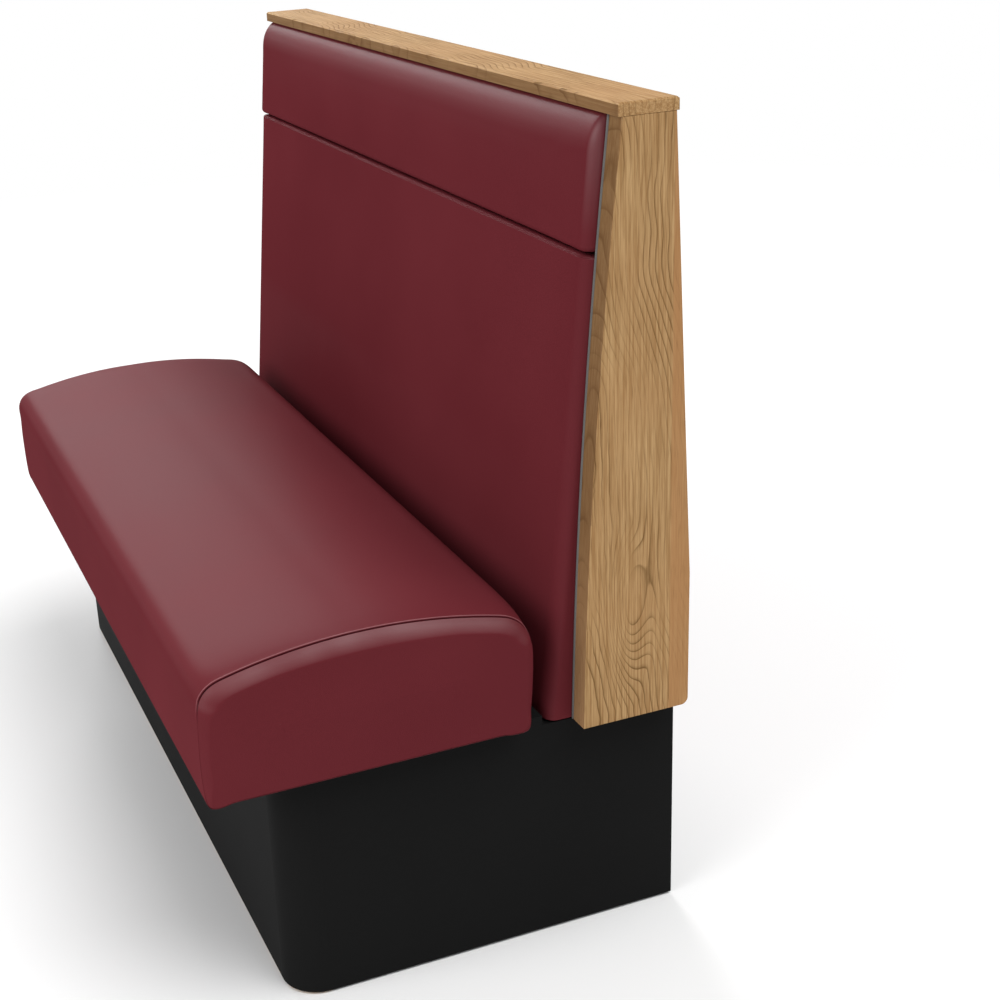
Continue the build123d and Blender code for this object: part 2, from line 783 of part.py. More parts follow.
def main():
    front, left, right, rear = make_plinth_boards()
    screws = [deck_screw(x, y, 0) for x, y in deck_screw_places()]
    for x, y in deck_screw_places():
        front -= deck_screw(x, y, clearance)
    back_bearer = make_back_bearer()
    write("plinth_skin", make_plinth_skin())
    write("plinth_front_board", front)
    write("plinth_left_board", left)
    write("plinth_right_board", right)
    write("plinth_rear_board", rear)
    write("plinth_left_corner_post", make_corner_post(-1))
    write("plinth_right_corner_post", make_corner_post(1))
    cross_reach = cross_bearer_share * inner_x
    for name, x in (("left", -cross_reach), ("right", cross_reach)):
        write("plinth_" + name + "_cross_bearer", make_cross_bearer(x, back_bearer))
    for name, side in (("left", -1), ("right", 1)):
        write("plinth_" + name + "_corner_block",
              make_corner_block(side, glide_height, plinth_height - bearer_thickness))
        write("floor_bracket_" + name, make_floor_bracket(side))
    for x, y in bolt_places():
        back_bearer -= rod(x, y, plinth_height - insert_length, plinth_height + cut_overrun,
                           insert_diameter)
        back_bearer -= rod(x, y, plinth_height - bearer_thickness - cut_overrun,
                           plinth_height, bolt_diameter + 2 * bolt_clearance)
    write("plinth_back_bearer", back_bearer)
    write("plinth_glides", make_glides())
    write("seat_deck", make_deck())
    write("deck_screws", screws)

    foam, cover, left_panel, right_panel = make_seat_pieces()
    write("seat_base_board", make_seat_board())
    write("seat_foam", foam)
    write("seat_cover", cover)
    write("seat_left_side_panel", left_panel)
    write("seat_right_side_panel", right_panel)
    write("seat_dust_cover", make_dust_cover())
    write("seat_rest_pads", make_rest_pads())
    write("seat_locating_pegs", make_pegs())

    top_rail = rail(z_cap - top_rail_height, z_cap, rail_depth)
    crease_z = plinth_height + crease_rise * lean_cos
    crease_rail = rail(crease_z - crease_rail_height / 2, crease_z + crease_rail_height / 2,
                       rail_depth)
    sole = make_sole()
    ribs = []
    for x in mirrored(rib_shares, x_end):
        half = frame_board_thickness / 2
        ribs.append(bar_x(frame_outline(), x - half, x + half) - top_rail - crease_rail - sole)
    for x, y in bolt_places():
        sole -= rod(x, y, plinth_height - cut_overrun, booth_height,
                    bolt_diameter + 2 * bolt_clearance)
    for x, y in cap_screw_places():
        top_rail -= cap_screw(x, y, clearance)
    for x, along in pad_screw_places():
        crease_rail -= pad_screw(x, along, clearance)
    pad_screws = [pad_screw(x, along, 0) + pad_screw_head(x, along)
                  for x, along in pad_screw_places()]
    write("pad_screws", pad_screws)
    write("back_top_rail", top_rail)
    write("back_crease_rail", crease_rail)
    write("back_sole_board", sole)
    for name, rib in zip(("left", "middle", "right"), ribs):
        write("back_" + name + "_rib", rib)
    write("left_end_panel", make_left_panel())
    write("oak_end_panel", make_oak_panel())
    write("oak_cap", make_cap())
    write("cap_screws", make_cap_screws())
    write("back_bolts", make_bolts())
    write("back_bolt_washers", make_washers())
    write("back_bolt_inserts", make_inserts())
    for name, side in (("left", -1), ("right", 1)):
        write("crease_rail_angle_" + name, make_angle(crease_z, side))

    roll = make_pad(roll_start, roll_end, roll_bulge, roll_edge_radius, roll_edge_radius)
    pad = make_pad(0, crease_rise, pad_crown, pad_edge_radius, pad_foot_radius)
    for name, pieces in (("head_roll", roll), ("back_pad", pad)):
        for kind, piece in zip(("cover", "foam", "board"), pieces):
            write(name + "_" + kind, piece)
    kink = plinth_height + oak_kink_rise
    upper = make_rear_pad(kink, z_cap, rear_upper_bulge)
    lower = make_rear_pad(plinth_height, kink, rear_lower_bulge)
    for name, pieces in (("rear_upper", upper), ("rear_lower", lower)):
        for kind, piece in zip(("cover", "foam", "board"), pieces):
            write(name + "_" + kind, piece)


main()
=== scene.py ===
# %% [markdown]
# A restaurant booth bench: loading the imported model.
# The bench is an upholstered box on a black plinth, with a loose seat cushion, a leaning back in
# two pads, an oak board at its right end and an oak cap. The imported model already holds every
# piece at its real size, so this script only dresses it: it gives each hard piece a finish, and
# makes the padded pieces again as softer, fuller forms in the same places.

# %% Load the frame
from math import atan2, cos, pi, radians, sin, tau

import bmesh
import bpy
import numpy as np
from mathutils import Matrix, Vector


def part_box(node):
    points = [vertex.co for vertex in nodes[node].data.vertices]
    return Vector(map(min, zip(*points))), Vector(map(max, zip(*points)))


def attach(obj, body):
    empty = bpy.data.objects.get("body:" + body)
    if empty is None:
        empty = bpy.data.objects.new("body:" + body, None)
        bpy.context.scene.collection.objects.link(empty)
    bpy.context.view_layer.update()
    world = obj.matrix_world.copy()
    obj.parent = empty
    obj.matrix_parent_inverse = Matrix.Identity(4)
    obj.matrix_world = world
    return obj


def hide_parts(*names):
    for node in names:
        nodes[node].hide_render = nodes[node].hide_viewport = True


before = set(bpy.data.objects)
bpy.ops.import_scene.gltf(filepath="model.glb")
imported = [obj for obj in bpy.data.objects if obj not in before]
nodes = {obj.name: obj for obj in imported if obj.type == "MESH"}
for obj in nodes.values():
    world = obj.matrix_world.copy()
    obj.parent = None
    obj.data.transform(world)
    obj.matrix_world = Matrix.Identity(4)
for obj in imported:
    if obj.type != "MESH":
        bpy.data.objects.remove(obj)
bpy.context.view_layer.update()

BENCH = "bench"
CUSHION = "seat_cushion"
mm = 0.001

# %% [markdown]
# The camera.
# The photograph looks down on the right end of the bench from a little over a metre up. Its place
# was solved from the corners of the oak, the plinth and the seat, so the numbers here are a
# position, three turns and a focal length. The lens axis met the picture left of its middle, so
# the camera has a small sideways shift.

# %% Camera
image_width = 1000
sensor_width = 36.0
camera_place = Vector((2.1106, -0.6153, 1.2684))
yaw, pitch, roll = radians(69.667), radians(22.003), radians(-3.112)
focal_length_pixels = 1661.2
lens_axis_column = 400


def add_object(name, data):
    """A new object in the scene for a mesh, a lamp or a camera."""
    thing = bpy.data.objects.new(name, data)
    bpy.context.collection.objects.link(thing)
    return thing


# Right and up are first level with the floor, then turned about the way ahead by the roll.
ahead = Vector((-sin(yaw) * cos(pitch), cos(yaw) * cos(pitch), -sin(pitch)))
level = Vector((cos(yaw), sin(yaw), 0))
rise = level.cross(ahead)
right, up = cos(roll) * level + sin(roll) * rise, cos(roll) * rise - sin(roll) * level
turn = Matrix((right, up, -ahead)).transposed()
camera = add_object("camera", bpy.data.cameras.new("camera"))
camera.matrix_world = Matrix.Translation(camera_place) @ turn.to_4x4()
camera.data.sensor_width = sensor_width
camera.data.lens = focal_length_pixels * sensor_width / image_width
camera.data.shift_x = 0.5 - lens_axis_column / image_width
bpy.context.scene.camera = camera
print("lens", round(camera.data.lens, 2), "shift", round(camera.data.shift_x, 3))

# %% [markdown]
# Helpers for materials.
# Every finish is a small network of nodes. One function adds a node with its settings and values,
# and another starts a material, so that each recipe below reads as a short list of steps.

# %% Node helpers
def paint(red, green, blue):
    """A colour given as it looks on a screen, 0 to 255, turned into the linear light nodes use."""
    c = np.array([red, green, blue]) / 255
    linear = np.where(c <= 0.04045, c / 12.92, ((c + 0.055) / 1.055) ** 2.4)
    return (*linear, 1.0)


def put(tree, kind, values=None, **settings):
    """Adds a node. settings are its own properties; values are its sockets, a value or a link."""
    node = tree.nodes.new(kind)
    for key, value in settings.items():
        setattr(node, key, value)
    for key, value in (values or {}).items():
        if isinstance(value, bpy.types.NodeSocket):
            tree.links.new(value, node.inputs[key])
        else:
            node.inputs[key].default_value = value
    return node


def math(tree, operation, *values):
    """A Math node's result for these numbers or links."""
    return put(tree, "ShaderNodeMath", dict(enumerate(values)), operation=operation).outputs[0]


def times(tree, first, second):
    """The product of two numbers or links."""
    return math(tree, "MULTIPLY", first, second)


def sloped(tree, value, slope, start):
    """A straight rule, start + slope times the value."""
    return math(tree, "MULTIPLY_ADD", value, slope, start)


def vector_math(tree, operation, *values):
    """A Vector Math node's outputs for these vectors or links."""
    return put(tree, "ShaderNodeVectorMath", dict(enumerate(values)), operation=operation).outputs


def split(tree, vector):
    """The X, Y and Z of a vector."""
    return put(tree, "ShaderNodeSeparateXYZ", {0: vector}).outputs


def mixed(tree, fac, first, second):
    """A blend of two colours, first where fac is 0 and second where it is 1."""
    node = put(tree, "ShaderNodeMix", {0: fac, 6: first, 7: second}, data_type="RGBA")
    return node.outputs[2]


def ranged(tree, value, low, high, to_low=0.0, to_high=1.0, **settings):
    """A value carried from one range to another, held at the ends."""
    return put(tree, "ShaderNodeMapRange", {0: value, 1: low, 2: high, 3: to_low, 4: to_high},
               **settings).outputs[0]


# %% Noise and bump helpers
usual_noise = (0.3, 0.7)


def noise(tree, place, scale, detail, **values):
    """Noise from 0 to 1, mostly within usual_noise. A scale for each axis draws it out."""
    if isinstance(scale, tuple):
        place = put(tree, "ShaderNodeMapping", {"Vector": place, "Scale": scale}).outputs[0]
        scale = 1.0
    return put(tree, "ShaderNodeTexNoise", {"Vector": place, "Scale": scale, "Detail": detail,
                                            **values}).outputs[0]


def emboss(tree, shader, height, strength, depth, **settings):
    """Gives a shader a bump whose height of 1 stands for a depth in metres."""
    bump = put(tree, "ShaderNodeBump", {"Height": height, "Strength": strength,
                                        "Distance": depth}, **settings)
    tree.links.new(bump.outputs[0], shader.inputs["Normal"])


# %% Material and group helpers
FLOAT, VECTOR, COLOUR = "NodeSocketFloat", "NodeSocketVector", "NodeSocketColor"


def new_material(name, roughness=0.5, **constants):
    """A material with one Principled shader; constants are sockets that stay the same all over."""
    material = bpy.data.materials.new(name)
    material.use_nodes = True
    tree = material.node_tree
    shader = tree.nodes["Principled BSDF"]
    shader.inputs["Roughness"].default_value = roughness
    for key, value in constants.items():
        shader.inputs[key.replace("_", " ")].default_value = value
    return material, tree, shader, put(tree, "ShaderNodeTexCoord").outputs["Object"]


def new_group(name, inputs, outputs):
    """A shader node group with named inputs, as (name, kind, default), and named outputs."""
    group = bpy.data.node_groups.new(name, "ShaderNodeTree")
    for label, kind, default in inputs:
        socket = group.interface.new_socket(label, in_out="INPUT", socket_type=kind)
        if default is not None:
            socket.default_value = default
    for label, kind in outputs:
        group.interface.new_socket(label, in_out="OUTPUT", socket_type=kind)
    return group, put(group, "NodeGroupInput").outputs, put(group, "NodeGroupOutput").inputs


def use_group(tree, group, **values):
    """Places a group in a material; underscores in a name stand for spaces."""
    spaced = {key.replace("_", " "): value for key, value in values.items()}
    return put(tree, "ShaderNodeGroup", spaced, node_tree=group).outputs

# %% [markdown]
# Light and floor.
# A photographer would light this with a large soft source overhead and another low on the left,
# whose reflection makes the pale sheen along the seat and the top of the head roll. Sun lamps
# with a wide angle act as such sources at a great distance, so the light is even over the whole
# floor. The world is plain white where it is seen, also in reflections, and weaker as a source.

# %% Light
scene = bpy.context.scene
scene.view_settings.view_transform = "Standard"

ambient_level = 0.39
plain_white = (1, 1, 1, 1)


def add_sun(name, towards, level, spread):
    """A wide sun that shines from a direction; level 1 lights a white card facing it to white."""
    lamp = bpy.data.lights.new(name, "SUN")
    lamp.energy = level * pi
    lamp.angle = radians(spread)
    add_object(name, lamp).rotation_euler = Vector(towards).to_track_quat("Z", "Y").to_euler()


def is_seen(tree):
    """1 where the camera sees a thing, also in a reflection or through glass, and 0 for light."""
    path = put(tree, "ShaderNodeLightPath").outputs
    seen = math(tree, "MAXIMUM", path["Is Camera Ray"], path["Is Glossy Ray"])
    return math(tree, "MAXIMUM", seen, path["Is Transmission Ray"])


add_sun("overhead_light", (0.32, 0.30, 0.90), 0.62, 45)
add_sun("left_light", (-0.90, 0.02, 0.43), 0.60, 30)
add_sun("front_fill", (0.12, -0.86, 0.48), 0.42, 45)

world = bpy.data.worlds.new("studio")
scene.world = world
world.use_nodes = True
tree = world.node_tree
tree.nodes.clear()
white = put(tree, "ShaderNodeBackground", {"Color": plain_white})
dim = put(tree, "ShaderNodeBackground", {"Color": plain_white, "Strength": ambient_level})
mix = put(tree, "ShaderNodeMixShader", {0: is_seen(tree), 1: dim.outputs[0], 2: white.outputs[0]})
put(tree, "ShaderNodeOutputWorld", {"Surface": mix.outputs[0]})
print("world", world.name, "ambient", ambient_level)

# %% [markdown]
# Unevenness shared by all finishes.
# No real surface is one flat value: it has large soft patches from handling, and a fine speckle.
# Both come from noise in the object's own coordinates. As a group, it is built once and placed in
# every material with its own scale.

# %% Group: unevenness
uneven, given, result = new_group(
    "unevenness",
    [("Place", VECTOR, None), ("Patch Scale", FLOAT, 3.0), ("Speck Scale", FLOAT, 300.0)],
    [("Patches", FLOAT), ("Specks", FLOAT)])
patches = noise(uneven, given["Place"], given["Patch Scale"], 3.0, Roughness=0.55)
specks = noise(uneven, given["Place"], given["Speck Scale"], 2.0)
uneven.links.new(ranged(uneven, patches, *usual_noise), result["Patches"])
uneven.links.new(ranged(uneven, specks, *usual_noise), result["Specks"])
print("group", uneven.name)

# %% [markdown]
# Vinyl.
# The cover is a coated upholstery vinyl in dark burgundy with a very fine pressed grain. The
# grain is a pattern of small rounded cells with creases between them, little more than a
# millimetre across, so it is a bump and not geometry. The crests of the grain are a shade
# lighter than the creases. Sitting and wiping have polished the faces that look upwards, so a
# coat lies over them, and over the upright edges, uneven and fading quickly where a shoulder
# turns down; the upright faces stay nearly matt, as they do in the photograph.

# %% Material: vinyl
vinyl_colour = paint(105, 42, 48)
vinyl_deep = paint(95, 35, 41)
# Painted highlight for the seam's fold, and painted shade for its crevice.
vinyl_fold_highlight = paint(170, 112, 116)
vinyl_crevice_shade = paint(36, 12, 15)
cells_per_metre = 620.0
cell_wander = 1.6 * mm
crease_width, crease_tint = 0.22, 0.22
grain_strength, grain_depth = 0.16, 0.4 * mm
# Where the seam's painted highlight on the fold and painted shade in the crevice begin and are
# full, as its height against the fold's.
fold_highlight_at, fold_highlight_tint = (0.35, 0.95), 0.5
crevice_shade_at, crevice_shade_tint = (-1.1, -0.2), 0.85
# Heights above the floor, in metres, over which the polish changes.
seat_ends_at = (0.55, 0.60)
roll_starts_at = (0.88, 0.93)
pad_corners_at = (0.86, 0.98)
slope_reach, upright_polish = 0.28, 0.04


def make_vinyl(name, seed, top_polish, top_from):
    """Burgundy vinyl: distance to the nearest cell edge gives the grain, noise the patches.

    The coat is strongest on faces that look up, from the slope top_from on, on the seat and on
    the roll, on the roll's upright corners and along the bevel at the seat's right end."""
    material, tree, shader, place = new_material(name, Specular_IOR_Level=0.0,
                                                 Coat_Roughness=0.46, Coat_IOR=1.5)
    place = put(tree, "ShaderNodeMapping", {"Vector": place, "Location": (seed, 0, 0)}).outputs[0]
    marks = use_group(tree, uneven, Place=place, Patch_Scale=2.2, Speck_Scale=420.0)
    wander = put(tree, "ShaderNodeTexNoise", {"Vector": place, "Scale": 160.0, "Detail": 2.0})
    wander = put(tree, "ShaderNodeVectorMath",
                 {0: wander.outputs["Color"], "Scale": cell_wander}, operation="SCALE")
    cells = put(tree, "ShaderNodeTexVoronoi",
                {"Vector": vector_math(tree, "ADD", place, wander.outputs[0])[0],
                 "Scale": cells_per_metre}, feature="DISTANCE_TO_EDGE")
    crest = ranged(tree, cells.outputs["Distance"], 0.0, crease_width)
    tone = mixed(tree, marks["Patches"], vinyl_deep, vinyl_colour)
    tone = mixed(tree, sloped(tree, crest, -crease_tint, crease_tint), tone, vinyl_deep)
    # Painted highlight on the seam's fold and painted shade in its crevice, read from the seam
    # attribute.
    seam = put(tree, "ShaderNodeAttribute", attribute_name="seam").outputs["Fac"]
    fold = ranged(tree, seam, *fold_highlight_at)
    tone = mixed(tree, times(tree, fold, fold_highlight_tint), tone, vinyl_fold_highlight)
    crevice = ranged(tree, seam, *crevice_shade_at, crevice_shade_tint, 0.0)
    tone = mixed(tree, crevice, tone, vinyl_crevice_shade)
    tree.links.new(tone, shader.inputs["Base Color"])
    gloss = sloped(tree, marks["Specks"], 0.03, sloped(tree, marks["Patches"], 0.06, 0.38))
    tree.links.new(gloss, shader.inputs["Roughness"])
    grain = sloped(tree, marks["Specks"], 0.25, crest)
    emboss(tree, shader, grain, grain_strength, grain_depth)
    facing = split(tree, put(tree, "ShaderNodeNewGeometry").outputs["Normal"])
    height = split(tree, place)["Z"]
    sideways = times(tree, facing["X"], 2.0)
    corner = times(tree, sideways, times(tree, facing["Y"], -1.0))
    bevel = times(tree, sideways, facing["Z"])
    on_pad = math(tree, "MAXIMUM", ranged(tree, height, *roll_starts_at, 0.35, 1.0),
                  ranged(tree, height, *seat_ends_at, 1.0, 0.0))
    polish = ranged(tree, facing["Z"], top_from, top_from + slope_reach, upright_polish,
                    top_polish)
    polish = times(tree, polish, on_pad)
    corner_polish = times(tree, ranged(tree, corner, 0.30, 0.80),
                          ranged(tree, height, *pad_corners_at, 0.08, 1.0))
    worn = ranged(tree, noise(tree, place, 10.0, 2.0), 0.38, 0.62, 0.7, 1.2)
    bevel_polish = times(tree, ranged(tree, bevel, 0.40, 0.90, 0.0, 0.9), worn)
    polish = math(tree, "MAXIMUM", math(tree, "MAXIMUM", polish, corner_polish), bevel_polish)
    polish = times(tree, polish, sloped(tree, marks["Patches"], -0.25, 1.0))
    tree.links.new(polish, shader.inputs["Coat Weight"])
    return material


seat_vinyl = make_vinyl("seat_vinyl", 0.0, 0.155, 0.30)
back_vinyl = make_vinyl("back_vinyl", 3.7, 0.35, 0.12)
print("vinyl", seat_vinyl.name, back_vinyl.name)

# %% [markdown]
# Oak.
# A flat-sawn oak board shows nested arches, because its face cuts through the tree's rings beside
# the heart while the trunk tapers. The group below is that cut: the distance from a leaning heart
# line, plus a taper along the grain, counted in rings. Slow noise bends the rings, each ring has
# a dark porous start and a pale end, and short dark dashes along the grain are its pores. A place
# where a branch once was pushes the rings into closed loops. The board is glued up from staves,
# and the last one is redder and almost plain.

# %% Group: oak rings
oak_pale = paint(191, 157, 112)
oak_mid = paint(153, 118, 77)
oak_dark = paint(106, 77, 44)
oak_red = paint(170, 125, 83)
oak_pore = paint(104, 72, 42)
ring_shade = ((0.0, 0.05), (0.06, 1.0), (0.18, 0.42), (0.38, 0.10), (1.0, 0.05))
ring_bend = 0.09
ripple_calm, ripple_lively = 0.0020, 0.0085
loop_stretch, loop_push = (0.0, 27.0, 8.0), 0.044

oak, given, result = new_group(
    "oak_grain",
    [("Place", VECTOR, None), ("Heart Across", FLOAT, 0.0), ("Heart Depth", FLOAT, 0.06),
     ("Ring Width", FLOAT, 0.0065), ("Taper", FLOAT, 0.12), ("Lean", FLOAT, 0.0),
     ("Loop At", VECTOR, None), ("Red From", FLOAT, 9.0)],
    [("Colour", COLOUR), ("Height", FLOAT), ("Rough", FLOAT)])
place = given["Place"]
axes = split(oak, place)
bend = noise(oak, place, (3.0, 3.0, 4.5), 2.0, Roughness=0.45)
across = math(oak, "SUBTRACT", axes["Y"], given["Heart Across"])
across = sloped(oak, math(oak, "SUBTRACT", bend, 0.5), ring_bend, across)
across = sloped(oak, axes["Z"], given["Lean"], across)
depth = math(oak, "ADD", axes["X"], given["Heart Depth"])
radius = math(oak, "SQRT", math(oak, "ADD", times(oak, across, across),
                                times(oak, depth, depth)))
radius = sloped(oak, axes["Z"], given["Taper"], radius)
ripple = noise(oak, place, (34.0, 34.0, 40.0), 1.5)
lively = ranged(oak, noise(oak, place, (11.0, 11.0, 4.0), 0.0), 0.50, 0.66, ripple_calm,
                ripple_lively)
radius = sloped(oak, math(oak, "SUBTRACT", ripple, 0.5), lively, radius)
from_loop = vector_math(oak, "SUBTRACT", place, given["Loop At"])[0]
from_loop = vector_math(oak, "MULTIPLY", from_loop, loop_stretch)[0]
from_loop = vector_math(oak, "LENGTH", from_loop)["Value"]
push = ranged(oak, from_loop, 0.0, 1.0, loop_push, 0.0, interpolation_type="SMOOTHSTEP")
radius = math(oak, "ADD", radius, push)
ring = math(oak, "FRACT", math(oak, "DIVIDE", radius, given["Ring Width"]))
print("group", oak.name, "rings counted")

# %% Oak: shade, pores and colours
figure_faint, figure_bold = 0.15, 0.95
stave_joint, red_stave_figure = 1.5 * mm, 0.2

shade = put(oak, "ShaderNodeValToRGB", {0: ring})
stops = shade.color_ramp.elements
for position, level in ring_shade:
    stop = stops[0] if position == 0 else stops[-1] if position == 1 else stops.new(position)
    stop.color = (level, level, level, 1)
strength = ranged(oak, noise(oak, place, (24.0, 24.0, 6.0), 1.0), 0.38, 0.60, figure_faint,
                  figure_bold)
stave_ends = math(oak, "ADD", given["Red From"], stave_joint)
plain = ranged(oak, axes["Y"], given["Red From"], stave_ends, 1.0, red_stave_figure)
dark = times(oak, times(oak, shade.outputs[0], strength), plain)
pores = ranged(oak, noise(oak, place, (900.0, 900.0, 40.0), 1.0), 0.56, 0.70, 0.0, 1.0)
streak = noise(oak, place, (420.0, 420.0, 9.0), 3.0, Roughness=0.7)
marks = use_group(oak, uneven, Place=place, Patch_Scale=5.0, Speck_Scale=700.0)
base = mixed(oak, ranged(oak, streak, 0.38, 0.62), oak_pale, oak_mid)
red = sloped(oak, marks["Patches"], 0.34, sloped(oak, plain, -0.75, 0.78))
wood = mixed(oak, dark, mixed(oak, red, base, oak_red), oak_dark)
pore_mask = times(oak, pores, sloped(oak, dark, 0.6, 0.20))
oak.links.new(mixed(oak, pore_mask, wood, oak_pore), result["Colour"])
oak.links.new(sloped(oak, dark, 0.5, pore_mask), result["Height"])
oak.links.new(sloped(oak, dark, 0.12, 0.46), result["Rough"])
print("group", oak.name, len(oak.nodes), "nodes")

# %% [markdown]
# Each oak board uses the group with the grain turned along its own length. Their front edges
# carry painted shade: in the photograph they are clearly browner than the faces beside them,
# more than the light explains, so the colour is mixed down where a face looks forwards. Low down
# the painted edge is lighter, painted light that offsets the shadow the seat casts there.

# %% Material: oak boards
# Painted shade for the boards' forward-facing edges: darker high up, lighter low down.
edge_shade_low, edge_shade_high = paint(166, 127, 90), paint(106, 76, 49)
edge_shade_facing = (0.75, 0.95)
# Heights above the floor, in metres, over which the painted edge shade goes from its lighter low
# tone to its darker one.
edge_shade_darkens_at = (0.30, 0.55)
cap_starts_at, board_edge_shade, cap_edge_shade = (0.984, 0.990), 0.74, 0.70


def make_oak(name, turn, across, depth, ring_width, taper, lean, loop, red_from=9.0):
    """Oak with its grain along one axis: a Mapping turns the board so the grain runs along Z."""
    material, tree, shader, place = new_material(name, Specular_IOR_Level=0.01)
    height = split(tree, place)["Z"]
    place = put(tree, "ShaderNodeMapping", {"Vector": place, "Rotation": turn}).outputs[0]
    grain = use_group(tree, oak, Place=place, Heart_Across=across, Heart_Depth=depth,
                      Ring_Width=ring_width, Taper=taper, Lean=lean, Loop_At=loop,
                      Red_From=red_from)
    facing = put(tree, "ShaderNodeNewGeometry").outputs["Normal"]
    forwards = vector_math(tree, "DOT_PRODUCT", facing, (0, -1, 0))["Value"]
    # Painted shade: faces that look forwards are mixed towards a darker brown, lighter low down.
    painted_edge_shade = times(tree, ranged(tree, forwards, *edge_shade_facing),
                    ranged(tree, height, *cap_starts_at, board_edge_shade,
                           cap_edge_shade))
    edge_shade_tone = mixed(tree, ranged(tree, height, *edge_shade_darkens_at), edge_shade_low, edge_shade_high)
    tree.links.new(mixed(tree, painted_edge_shade, grain["Colour"], edge_shade_tone), shader.inputs["Base Color"])
    tree.links.new(grain["Rough"], shader.inputs["Roughness"])
    emboss(tree, shader, grain["Height"], 0.35, 0.5 * mm, invert=True)
    return material


end_board_oak = make_oak("end_board_oak", turn=(0, 0, 0), across=0.196, depth=-0.585,
                         ring_width=8 * mm, taper=0.040, lean=0.12, loop=(0.598, 0.214, 0.42),
                         red_from=0.268)
cap_oak = make_oak("cap_oak", turn=(0, pi / 2, 0), across=0.325, depth=-0.975,
                   ring_width=6.5 * mm, taper=0.035, lean=0.02, loop=(9, 9, 9))
print("oak", end_board_oak.name, cap_oak.name)

# %% [markdown]
# The plain finishes.
# The plinth is faced with a black laminate, smooth and faintly mottled. Inside, the frame is
# softwood and plywood, with zinc-plated steel, black plastic and rubber. They barely show, but
# each still has its own colour, gloss and small unevenness.

# %% Material: plain finishes
def make_plain(name, colour, second, roughness, patch, speck, bump_mm, **constants):
    """A finish of two close colours, patches in its gloss and a fine bump of a given depth."""
    material, tree, shader, place = new_material(name, **constants)
    marks = use_group(tree, uneven, Place=place, Patch_Scale=patch, Speck_Scale=speck)
    blend = sloped(tree, marks["Specks"], 0.35, times(tree, marks["Patches"], 0.65))
    tree.links.new(mixed(tree, blend, paint(*colour), paint(*second)),
                   shader.inputs["Base Color"])
    tree.links.new(sloped(tree, marks["Patches"], 0.10, roughness), shader.inputs["Roughness"])
    emboss(tree, shader, marks["Specks"], 0.4, bump_mm * mm)
    return material


laminate = make_plain("black_laminate", (22, 22, 22), (27, 27, 27), 0.55, 2.0, 900.0, 0.05,
                      Specular_IOR_Level=0.02)
grey_strip = make_plain("grey_strip", (88, 86, 84), (102, 100, 97), 0.5, 8.0, 500.0, 0.03)
plastic = make_plain("black_plastic", (24, 24, 25), (34, 34, 35), 0.38, 12.0, 900.0, 0.05)
rubber = make_plain("black_rubber", (26, 26, 26), (36, 36, 35), 0.75, 15.0, 700.0, 0.1)
cambric = make_plain("black_cambric", (28, 28, 29), (44, 44, 45), 0.9, 6.0, 1500.0, 0.2)
steel = make_plain("zinc_steel", (176, 178, 180), (150, 153, 156), 0.30, 20.0, 400.0, 0.03,
                   Metallic=1.0)
foam = make_plain("foam", (226, 214, 184), (206, 192, 158), 0.95, 4.0, 800.0, 0.4)
print("plain finishes", laminate.name, grey_strip.name, steel.name, foam.name)


# %% Material: timber
def make_timber(name, pale, dark, layer_thickness=0):
    """Sawn timber, its noise stretched along X; a layer's thickness adds those of plywood."""
    material, tree, shader, place = new_material(name, Specular_IOR_Level=0.3)
    fibres = noise(tree, place, (5.0, 140.0, 140.0), 3.0)
    mask = ranged(tree, fibres, *usual_noise)
    if layer_thickness:
        stripes = math(tree, "PINGPONG", split(tree, place)["Z"], layer_thickness)
        stripes = ranged(tree, stripes, 0.0, layer_thickness, 0.0, 0.4)
        mask = sloped(tree, stripes, 1.0, times(tree, mask, 0.6))
    tree.links.new(mixed(tree, mask, paint(*pale), paint(*dark)), shader.inputs["Base Color"])
    tree.links.new(sloped(tree, mask, 0.1, 0.6), shader.inputs["Roughness"])
    emboss(tree, shader, mask, 0.3, 0.3 * mm)
    return material


softwood = make_timber("softwood", (222, 190, 140), (196, 154, 100))
plywood = make_timber("plywood", (214, 184, 140), (178, 142, 98), 1.4 * mm)
print("timber", softwood.name, plywood.name)

# %% [markdown]
# Dressing the pieces that keep their shape.
# Each node of the model names a slot, the finish its real piece has, so one table from slot to
# material dresses them all. The cap has its own grain direction, and the boards whose edges show
# beside the plinth's facing are painted black like it.

# %% Dress the nodes
slot_finish = {
    "burgundy_vinyl": back_vinyl, "oak": end_board_oak, "black_laminate": laminate,
    "foam": foam, "black_cambric": cambric, "black_rubber": rubber, "black_plastic": plastic,
    "zinc_steel": steel, "plywood": plywood, "softwood": softwood,
}
own_finish = {"oak_cap": cap_oak}
own_finish.update(dict.fromkeys(("plinth_right_board", "plinth_left_board", "plinth_back_bearer",
                                 "plinth_rear_board", "back_sole_board", "seat_deck"), laminate))

for name, node in nodes.items():
    slot = node.data.materials[0].name.split(".")[0]
    node.data.materials[0] = own_finish.get(name, slot_finish[slot])
print("dressed", len(nodes))

# %% [markdown]
# From a grid of points to a mesh.
# Each cushion below is worked out as a grid: rows of points across the piece, each row a line
# over its surface. The helpers turn a grid into quads, draw an arc through three points, space
# points evenly, and put extra points between the given ones on a smooth curve.

# %% Grid helpers
def points_of(thing):
    """A mesh object's points as an array."""
    flat = np.empty(len(thing.data.vertices) * 3)
    thing.data.vertices.foreach_get("co", flat)
    return flat.reshape(-1, 3)


def length_of(points):
    """Distance travelled at each point of a path."""
    steps = np.linalg.norm(np.diff(points, axis=0), axis=1)
    return np.concatenate([[0], np.cumsum(steps)])


